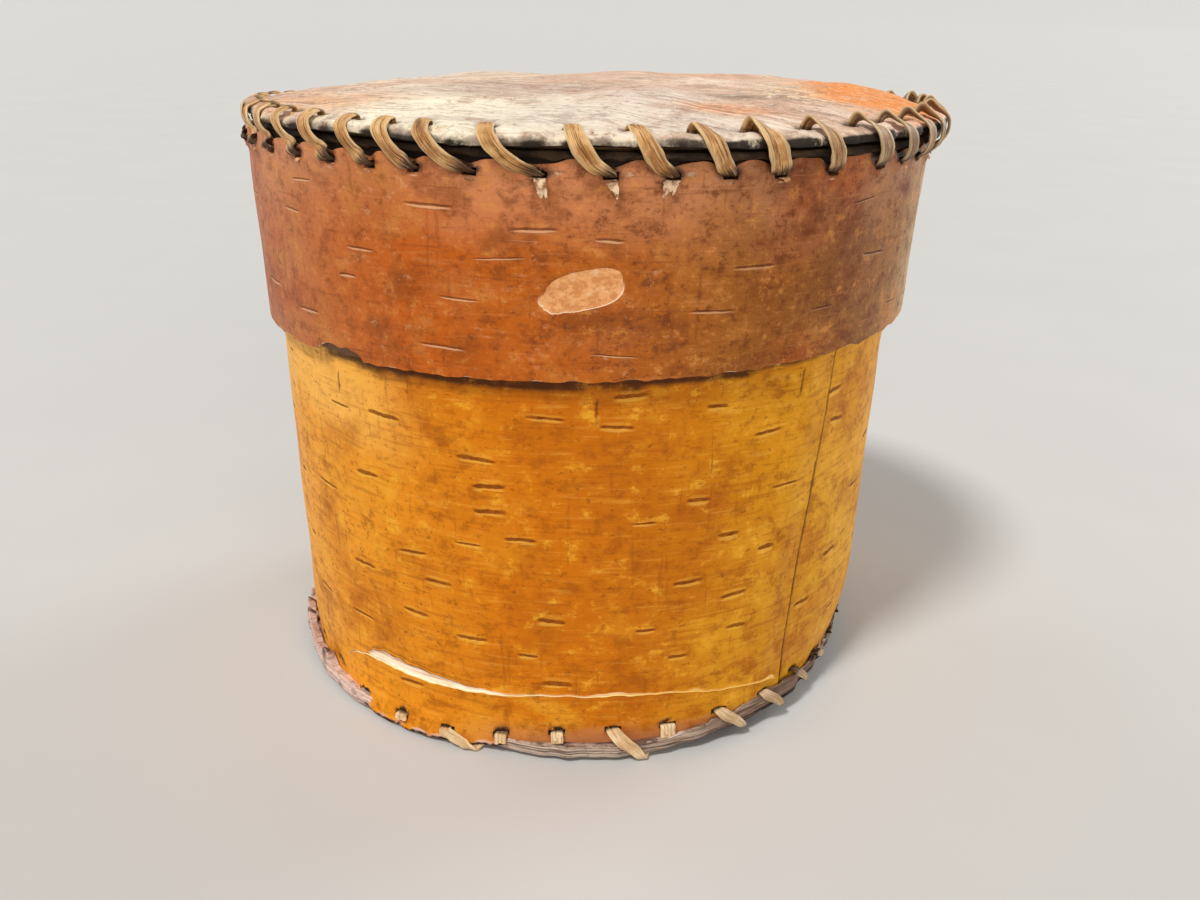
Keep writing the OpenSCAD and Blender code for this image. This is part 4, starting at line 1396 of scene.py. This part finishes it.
def lid_band(finish):
    """The band's outer ply: torn at its holes, chipped and frayed at its mouth, bare in one patch."""
    half_gap = BUTT_GAP / 2 / BAND_FOOT_R
    a = np.linspace(BAND_SEAM - 2 * math.pi + half_gap, BAND_SEAM - half_gap, LID_COLUMNS + 1)
    chip = np.clip(1.15 - (BAND_FOOT_R * turn(a - CHIP_AT) / CHIP_W) ** 2, 0, 1) ** 0.5
    fray = (0.08 * edge_nicks(a, 0) + 0.12 * ply_nicks(a, 0)) * MM
    mouth = mouth_z(a) + fray + (CHIP_H + 0.12 * MM * ply_nicks(a, 0)) * chip
    pinch = nearness(a, 0, BAND_TOP_R, stitch_angle(0.92), 0, 3 * MM, 1)
    droop = lid_droop(a)
    top = LID_TOP_Z - 0.3 * MM - 1.5 * MM * pinch + 0.24 * MM * ply_nicks(a, 0) - droop
    hole_low = BAND_HOLE_Z - SLOT_T / 2 - droop
    hole_high = BAND_HOLE_Z + SLOT_T / 2 - droop
    guides = [mouth, mouth + 0.3 * MM, mouth + 1.2 * MM, hole_low - 6 * MM, hole_low, hole_high,
        top - 0.3 * MM, top]
    z, row = rungs(guides, [1, 1, 32, 8, 3, 3, 1])
    around = np.broadcast_to(a, z.shape)
    sideways = BAND_FOOT_R * turn(around - PATCH_AT)
    upward = z - PATCH_Z - PATCH_TILT * sideways
    bare = ease((np.abs(sideways) / PATCH_W) ** 3 + (np.abs(upward) / PATCH_H) ** 3, 1.1, 0.9)
    level = z + droop
    by_holes = near_holes(around, level, BAND_TOP_R, BAND_HOLE_Z, band_holes)
    lower_lip = by_holes(-1.4, 3, 1.5)
    hollow = by_holes(2.8, 3.4, 2.2, stitch_angle(0.85))
    hump = ease(level, LID_TOP_Z - 6 * MM, LID_TOP_Z - 1.5 * MM) * (1 - pinch)
    uneven = band_free(z) * (0.25 * out_of_round(around + 1, z) + 0.14 * band_dents(around, z)) * MM
    torn = by_holes(0, 3.6, 2.8) * 0.4 * MM * band_dents(around * 4, z * 7)
    r = band_r(z, around) + uneven - 0.25 * MM * bare
    face = place(r + torn + (0.5 * lower_lip - 0.8 * hollow + 0.45 * hump) * MM, around, z + 0.5 * torn)
    back = place(np.minimum(band_r(z, around) + np.minimum(uneven, 0), r) - BAND_T, around, z)
    cut = open_cells(len(z) - 1, a, row[4:6], band_holes, BAND_SLOT)
    # Painted shade round the band's holes and in the hollows above them, where the stitches go in.
    soot = np.maximum(by_holes(0.5, 3.3, 1.8), 0.8 * hollow)
    pale = ease(ply_nicks(around, 6), 0.3, 1.1)
    wear = 0.8 * pale * ease(z - mouth, 0.4 * MM, 0.05 * MM)
    beside = [band_holes[i] + 4 * MM / BAND_TOP_R for i in BIG_TEARS]
    torn_edge = np.maximum(0.75 * by_holes(-1.5, 2.4, 0.7), 0.65 * by_holes(0.6, 3, 1.3, beside))
    wear = np.maximum(wear, torn_edge)
    marks = bark_marks(23, BAND_MARKS, LID_FOOT_Z + 5 * MM, LID_TOP_Z - 12 * MM, 13 * MM)
    mark = mark_paint(around, z, BAND_TOP_R, marks, 24, BAND_MARK_T)
    patch = np.stack([sideways / PATCH_W, upward / PATCH_H, 0 * z], -1)
    skin = Skin("mark", "patch", "soot", "wear", "inside")
    skin.sheet(face, back, cut=cut, inside=on_back(z), mark=face_only(mark),
        patch=face_only(patch, FAR), soot=both(soot), wear=both(wear))
    add_tongues(skin)
    piece("lid_side", skin, finish, "lid", "band_bark", "lid_band")


def add_tongues(skin):
    """Torn slivers of bark that hang below some of the band's holes."""
    pick = np.random.default_rng(61)
    for i, angle in enumerate(band_holes):
        big = i in BIG_TEARS
        torn = 3 if big else pick.integers(0, 2)
        z = BAND_HOLE_Z - SLOT_T / 2 - float(lid_droop(angle))
        for sliver in range(torn):
            at = angle + pick.uniform(-1.4, 1.4) * MM / BAND_TOP_R
            length = pick.uniform(0.7, 2) * MM * (2 if big else 0.6)
            curl = pick.uniform(0.1, 0.8) * MM
            foot_r = band_r(z, at)
            stops = np.array([(foot_r - 0.4 * MM, z), (foot_r + 0.45 * MM, z + 0.1 * MM),
                (foot_r + 0.5 * MM + curl, z - 0.5 * length), (foot_r + 0.4 * MM + 0.8 * curl, z - length)])
            r, height = through(stops, 4).T
            lean = np.linspace(0, pick.normal(0, 1) * MM / BAND_TOP_R, len(r))
            taper = np.linspace(1, 0.2, len(r)) ** 0.8 * pick.uniform(0.75, 1.25, len(r))
            skin.strip(place(r, at + lean, height), along_wall(at), taper * pick.uniform(1.4, 3) * MM,
                np.full(len(r), 0.35 * MM), wear=np.full(len(r), 0.75 if big else 0.55))


def lid_inner(finish):
    """The band's inner ply, which shows at the chip."""
    half_gap = BUTT_GAP / 2 / BAND_FOOT_R
    a = np.linspace(LINING_SEAM - 2 * math.pi + half_gap, LINING_SEAM - half_gap, INNER_COLUMNS + 1)
    mouth = mouth_z(a) + 0.35 * MM + 0.2 * MM * ply_nicks(a, 3)
    droop = lid_droop(a)
    guides = [mouth, mouth + 0.6 * MM, BAND_HOLE_Z - SLOT_T / 2 - droop, BAND_HOLE_Z + SLOT_T / 2 - droop,
        LID_TOP_Z - 0.1 * MM - droop]
    z, row = rungs(guides, [1, 24, 2, 3])
    around = np.broadcast_to(a, z.shape)
    slack = 0.25 * MM * band_free(z)
    r = band_r(z, around) - BAND_IN - slack
    thick = BAND_LINING_T - slack
    cut = open_cells(len(z) - 1, a, row[2:4], band_holes, BAND_SLOT)
    wear = ease(z - mouth, 4.5 * MM, 2.5 * MM)
    # Painted shade at the top of the inner ply, under the discs.
    soot = np.concatenate([ease(z + droop, LID_TOP_Z - 5 * MM, LID_TOP_Z - 3 * MM).ravel(), np.zeros(z.size)])
    marks = bark_marks(33, [], LID_FOOT_Z + 8 * MM, LID_TOP_Z - 14 * MM, 9 * MM)
    paint = mark_paint(around, z, BAND_FOOT_R, marks, 34).reshape(-1, 3)
    skin = Skin("mark", "wear", "soot")
    skin.sheet(place(r, around, z), place(r - thick, around, z), cut=cut, mark=np.vstack([paint, paint]),
        wear=both(wear), soot=soot)
    piece("lid_inner_side", skin, finish, "lid", "inner_bark", "lid_lining")


# Section of the top disc's rolled edge, in mm out from the disc's radius and up from its underside
ROLLED_EDGE = [
    (-3.5, 0.2), (-1.7, 0), (-0.6, 0.05), (-0.1, 0.4), (0.05, 1), (-0.1, 1.7), (-0.6, 2.3), (-1.4, 2.8),
    (-2.8, 3.2)]


def lid_discs(top_finish, dark_finish):
    """The domed top disc with its rolled edge, and the dark disc under it."""
    a = np.linspace(0, 2 * math.pi, LID_COLUMNS, endpoint=False)
    closed = np.append(a, 2 * math.pi)
    flat = np.ones_like(a)
    drawn = 1 - lid_pull(a) / DISC_R
    slot_out = LID_SLOT_R + SLOT_T / 2
    slot_in = LID_SLOT_R - SLOT_T / 2
    shoulder = 96 * MM
    inward = [shoulder, slot_out, slot_in, 84 * MM, 60 * MM, 1 * MM]
    even, row = rungs([r * flat for r in inward], [4, 3, 5, 10, 14])
    radii = even * drawn
    pinch = nearness(a, 0, DISC_R, stitch_angle(0.3), 0, 3 * MM, 1)
    droop = lid_droop(a)
    dark_side = side(a, -4, 22, 120, 160)
    swell = (0.35 * ply_nicks(a, 0) + 0.14 * edge_nicks(a, 2) - 0.8 * pinch) * MM
    rim_r = DISC_R * drawn + swell
    rim_z = top_low.z - droop + 0.25 * MM * lip_swell(a, 0)
    tall = 1 + 0.1 * ply_nicks(a, 3) - 0.08 * pinch
    out, up = np.array(ROLLED_EDGE).T[:, :, None] * MM
    crumpled = 0.16 * MM * band_dents(a * 5, up * 9) * ease(up, 0, 1 * MM)
    face_r = np.vstack([rim_r + out + crumpled, radii])
    around = np.broadcast_to(a, face_r.shape)
    rolls = len(ROLLED_EDGE)
    dome = dome_z(even, around[rolls:])
    face_z = np.vstack([rim_z + up * tall, dome])
    dents = 0.35 * MM * disc_dents(around, face_r) * ease(face_r, 10 * MM, 40 * MM)
    furrow = 0.16 * MM * bark_dents(around * 2, face_r * 2) * ease(face_r, 40 * MM, 70 * MM)
    outward = face_r / drawn - LID_SLOT_R
    dimple = 0.0
    smudge = 0.0
    for start in disc_slots:
        aside = face_r * turn(around - start)
        dimple = np.maximum(dimple, bell(aside, 2.6 * MM) * bell(outward, 2.2 * MM))
        smudge = np.maximum(smudge, bell(aside, 5 * MM) * bell(outward - 2 * MM, 4 * MM))
    face_z = face_z + (dents + furrow) * ease(face_r, DISC_R * drawn, 90 * MM) - 1.1 * MM * dimple
    under_z = dome_z(shoulder, a) - TOP_T
    back_r = np.vstack([np.linspace(rim_r - 3.9 * MM, shoulder * drawn, rolls + 1)[:-1], radii])
    back_z = np.vstack([np.linspace(rim_z + 0.3 * MM, under_z, rolls + 1)[:-1],
        np.minimum(dome - TOP_T, face_z[rolls:] - 0.6 * MM)])
    cut = open_cells(len(face_r) - 1, closed, rolls + row[1:3], disc_slots, DISC_SLOT)
    rolled = np.zeros_like(face_r)
    rolled[:rolls] = ease(up, 3.2 * MM, 1.4 * MM)
    # Painted shade in the dimples at the slots, where the strands pinch the rolled edge and along its
    # underside; its lower part is darkened by dirt and painted shade, most of its face is dark grey at the
    # right, and softer dark patches lie round the slots.
    soot = np.maximum(0.9 * dimple, 0.6 * rolled * pinch)
    dirt_and_shade = 0.55 + 0.2 * ply_nicks(a, 5)
    for share, low, high in ((1, 0.5, 0.1), (0.85 * dark_side, 2.6, 1.7), (dirt_and_shade, 2.2, 0.9)):
        soot[:rolls] = np.maximum(soot[:rolls], share * ease(up, low * MM, high * MM))
    soot = np.maximum(soot, smudge * (0.3 + 0.14 * ply_nicks(around, 8)))
    skin = Skin("wear", "soot", "inside")
    skin.sheet(place(face_r, around, face_z), place(back_r, around, back_z), ring=True, cut=cut, pole=True,
        wear=both(rolled), soot=both(soot), inside=on_back(face_r))
    piece("lid_dome", skin, top_finish, "lid", "outer_bark", "lid_top")

    edge = DISC_R * drawn + (0.45 * ply_nicks(a, 2) - 0.7 * pinch - 1.9 + 1.1 * dark_side) * MM
    curl = 0.35 * MM * ply_nicks(a, 5)
    top_z = under_high.z - 0.05 * MM
    low_z = under_low.z + 0.02 * MM
    rim_face = [(edge - 0.1 * MM, top_z - 1.2 * MM), (edge - 0.5 * MM, top_z - 0.75 * MM),
        (edge - 2.2 * MM, top_z - 0.7 * MM)]
    rim_back = [(edge, low_z + 0.6 * MM + curl), (edge - 0.4 * MM, low_z + 0.1 * MM + curl),
        (edge - 1.2 * MM, low_z + 0.3 * curl)]
    clear_r = NECK_R + TIE_GAP + TIE_T + 0.45 * MM
    sag = np.vstack([droop] * len(rim_face) + [droop * ease(radii, clear_r, 95 * MM)])
    face_r = np.vstack([r for r, z in rim_face] + [radii])
    face_z = np.vstack([z * flat for r, z in rim_face] + [top_z * np.ones_like(radii)]) - sag
    back_r = np.vstack([r for r, z in rim_back] + [radii])
    back_z = np.vstack([z * flat for r, z in rim_back] + [low_z * np.ones_like(radii)]) - sag
    face_z[len(rim_face)] -= 0.5 * MM
    cut = open_cells(len(face_r) - 1, closed, len(rim_face) + row[1:3], disc_slots, DISC_SLOT)
    inside = np.zeros_like(face_r)
    inside[len(rim_face) + 1:] = 1
    skin = Skin("inside")
    skin.sheet(place(face_r, a, face_z), place(back_r, a, back_z), ring=True, cut=cut, pole=True,
        inside=both(inside))
    piece("lid_dark_disc", skin, dark_finish, "lid", "dark_bark", "lid_under")


def lid_lacing(root):
    """Two strands of root that overcast the discs' edge to the band."""
    pick = np.random.default_rng(71)
    hooked = np.array([0.75, 0.75, 0.8, 0.88, 0.95, 1, 1, 0.96, 0.78, 0.6, 0.55, 0.6])
    straight = np.array([0.9, 0.9, 1, 1.12, 1.2, 1.2, 1.18, 1.14, 1.04, 0.9, 0.8, 0.8])

    def stitch(i):
        """Stops along one stitch and on to the next: radius, angle, height, tilt, width and age."""
        slot = disc_slots[i]
        hole = band_holes[i]
        onward = (hole + disc_slots[(i + 1) % LID_STITCHES] + 2 * math.pi * ((i + 1) // LID_STITCHES)) / 2
        arch = float(side(slot, -2, 26, 110, 150))
        proud = max(0, 0.1 + 0.5 * arch + pick.normal(0, 0.15)) * MM
        twist = pick.normal(0, 0.03)
        disc_r = DISC_R - float(lid_pull(slot))
        slot_r = LID_SLOT_R * disc_r / DISC_R
        side_r = float(band_r(BAND_HOLE_Z, hole))
        edge_z = top_low.z - float(lid_droop(slot))
        hole_z = BAND_HOLE_Z - float(lid_droop(hole))
        crest = float(dome_z(LID_SLOT_R, slot))
        stops = [
            (slot_r, edge_z - 3.7 * MM, 0, 0, 0), (slot_r, edge_z, 0, 0, 0),
            (slot_r + 0.5 * MM, crest - 0.1 * MM, 0.01, 0.02, 0),
            (slot_r + 1.9 * MM, crest + 0.5 * MM + proud + 0.6 * MM * arch, 0.03, 0.1, 0.55),
            (disc_r - 2.2 * MM, edge_z + 3.5 * MM + proud + 0.4 * MM * arch, 0.07, 0.2, 0.45),
            (disc_r + 0.1 * MM + 0.6 * proud, edge_z + 2.1 * MM + 0.5 * proud, 0.15, 0.36, 0.15),
            (disc_r + 0.35 * MM + proud, edge_z - 0.6 * MM, 0.32, 0.56, 0),
            (disc_r - 0.7 * MM + 0.8 * proud, edge_z - 3.5 * MM, 0.58, 0.76, 0),
            (side_r + 1.1 * MM, hole_z + 0.9 * MM, 0.9, 0.93, 0),
            (side_r - 0.4 * MM, hole_z + 0.1 * MM, 1.02, 1.02, 0),
            (side_r - 3.3 * MM, hole_z + 0.2 * MM, 1.04, 1.04, 0)]
        path = []
        for r, z, hook, slant, tilt in stops:
            share = hook + arch * (slant - hook) + twist * bell(hook - 0.3, 0.3)
            path.append((r, slot + share * (hole - slot), z, tilt * arch))
        path.append((side_r - 4.3 * MM, onward, hole_z + 2 * MM, 0))
        wide = (hooked + arch * (straight - hooked)) * ROOT_W * pick.normal(1.02, 0.07)
        age = np.clip(0.08 + 0.7 * side(slot, 16, 44, 110, 150) + pick.normal(0, 0.12), 0, 0.85)
        return [(*spot, w, age) for spot, w in zip(path, wide)]

    for name, run, node in (("lid_lacing_front", range(LID_STITCHES // 2), "lid_root_front"),
            ("lid_lacing_back", range(LID_STITCHES // 2, LID_STITCHES), "lid_root_back")):
        r, a, z, tilt, wide, age = through(np.array([stop for i in run for stop in stitch(i)][:-1]), 6).T
        wide = wide * (1 + 0.05 * band_dents(a * 6, z * 8))
        outside = r > BAND_TOP_R - 3 * MM
        level = z + lid_droop(a)
        # Painted shade: the strands darken where they run down below the disc's edge to the band's holes, and
        # where they go into the disc's slots.
        dark = 0.9 * ease(level, LID_TOP_Z - 0.4 * MM, BAND_HOLE_Z + 0.5 * MM) * outside
        dark = np.maximum(dark, 0.7 * bell(r - LID_SLOT_R, 1.5 * MM) * ~outside)
        skin = Skin("grain", "soot", "age")
        thick = np.full(len(r), LID_ROOT_T)
        skin.strip(place(r, a, z), along_wall(a, tilt), wide, thick, soot=dark, age=age)
        piece(name, skin, root, "lid", "lid_root", node, sharp=60)


# Studio


def viewpoint():
    """Camera at the photograph's viewpoint."""
    right = Vector((math.cos(YAW), -math.sin(YAW), 0))
    ahead = Vector((math.sin(YAW) * math.cos(PITCH), math.cos(YAW) * math.cos(PITCH), -math.sin(PITCH)))
    up = right.cross(ahead)
    level = Matrix((right, up, -ahead)).transposed()
    camera = bpy.data.cameras.new("camera")
    camera.sensor_fit = "HORIZONTAL"
    camera.sensor_width = 36
    camera.lens = LENS
    camera.clip_start = 0.01
    holder = stand("camera", camera)
    holder.matrix_world = Matrix.Translation(EYE) @ (level @ Matrix.Rotation(ROLL, 3, "Z")).to_4x4()
    bpy.context.scene.camera = holder


def daylight():
    """Soft lamps, and a room that lights the box gently and is pale where it is seen."""
    for name, (spot, breadth, power) in SUNS.items():
        lamp = bpy.data.lights.new(name, "SUN")
        lamp.energy = power
        lamp.angle = breadth * DEG
        holder = stand(name, lamp)
        holder.location = spot
        holder.rotation_euler = (AIM - Vector(spot)).to_track_quat("-Z", "Y").to_euler()

    world = bpy.data.worlds.new("room")
    room = Nodes(world)
    background = room.tree.nodes["Background"]
    room.plug(background.inputs["Color"], ROOM_LIGHT)
    room.plug(background.inputs["Strength"], ROOM_STRENGTH)
    light = Tone(room, background.outputs[0])
    pale = room.node("ShaderNodeBackground", None, {"Color": tint(*ROOM_SEEN)})
    rays = room.node("ShaderNodeLightPath", output="Is Camera Ray")
    seen = rays + rays.other("Is Glossy Ray") + rays.other("Is Transmission Ray")
    either = room.node("ShaderNodeMixShader", None, {0: seen, 1: light, 2: pale})
    room.plug(room.tree.nodes["World Output"].inputs["Surface"], either)
    bpy.context.scene.world = world


def pale_floor():
    """A plain floor that rises far away."""
    finish = Finish("floor")
    grain = finish.noise((9, 9, 9), 3, 0.6)
    colour = finish.blend(grain, tint(206, 204, 200), tint(200, 198, 194))
    finish.show(colour, 0.7 + 0.1 * grain, grain, 0.05)
    turns = [k * 2 * math.pi / FLOOR_SIDES for k in range(FLOOR_SIDES)]
    points = [(r * math.cos(angle), r * math.sin(angle), z) for r, z in FLOOR_RINGS for angle in turns]
    faces = [tuple(range(FLOOR_SIDES))]
    for ring in range(len(FLOOR_RINGS) - 1):
        for k in range(FLOOR_SIDES):
            inner = ring * FLOOR_SIDES + k
            onward = ring * FLOOR_SIDES + (k + 1) % FLOOR_SIDES
            faces.append((inner, inner + FLOOR_SIDES, onward + FLOOR_SIDES, onward))
    mesh = bpy.data.meshes.new("floor")
    mesh.from_pydata(points, [], faces)
    mesh.shade_smooth()
    mesh.materials.append(finish.material)
    floor = stand("floor", mesh)


bpy.context.scene.view_settings.view_transform = "Standard"
viewpoint()
daylight()
pale_floor()
inside_bark = inner_bark()
base_root = root_finish("base_root", (240, 210, 166), (218, 178, 128), (146, 104, 66), 0.55)
lid_root = root_finish("lid_root", (230, 178, 112), (188, 128, 66), (100, 56, 20), 0.9)
outer_sheet()
neck_sheet(inside_bark)
rim_binding(withe(), base_root)
base_plies(base_bark())
base_lacing(base_root)
lid_band(band_bark())
lid_inner(inside_bark)
lid_discs(outer_bark(), dark_bark())
lid_lacing(lid_root)
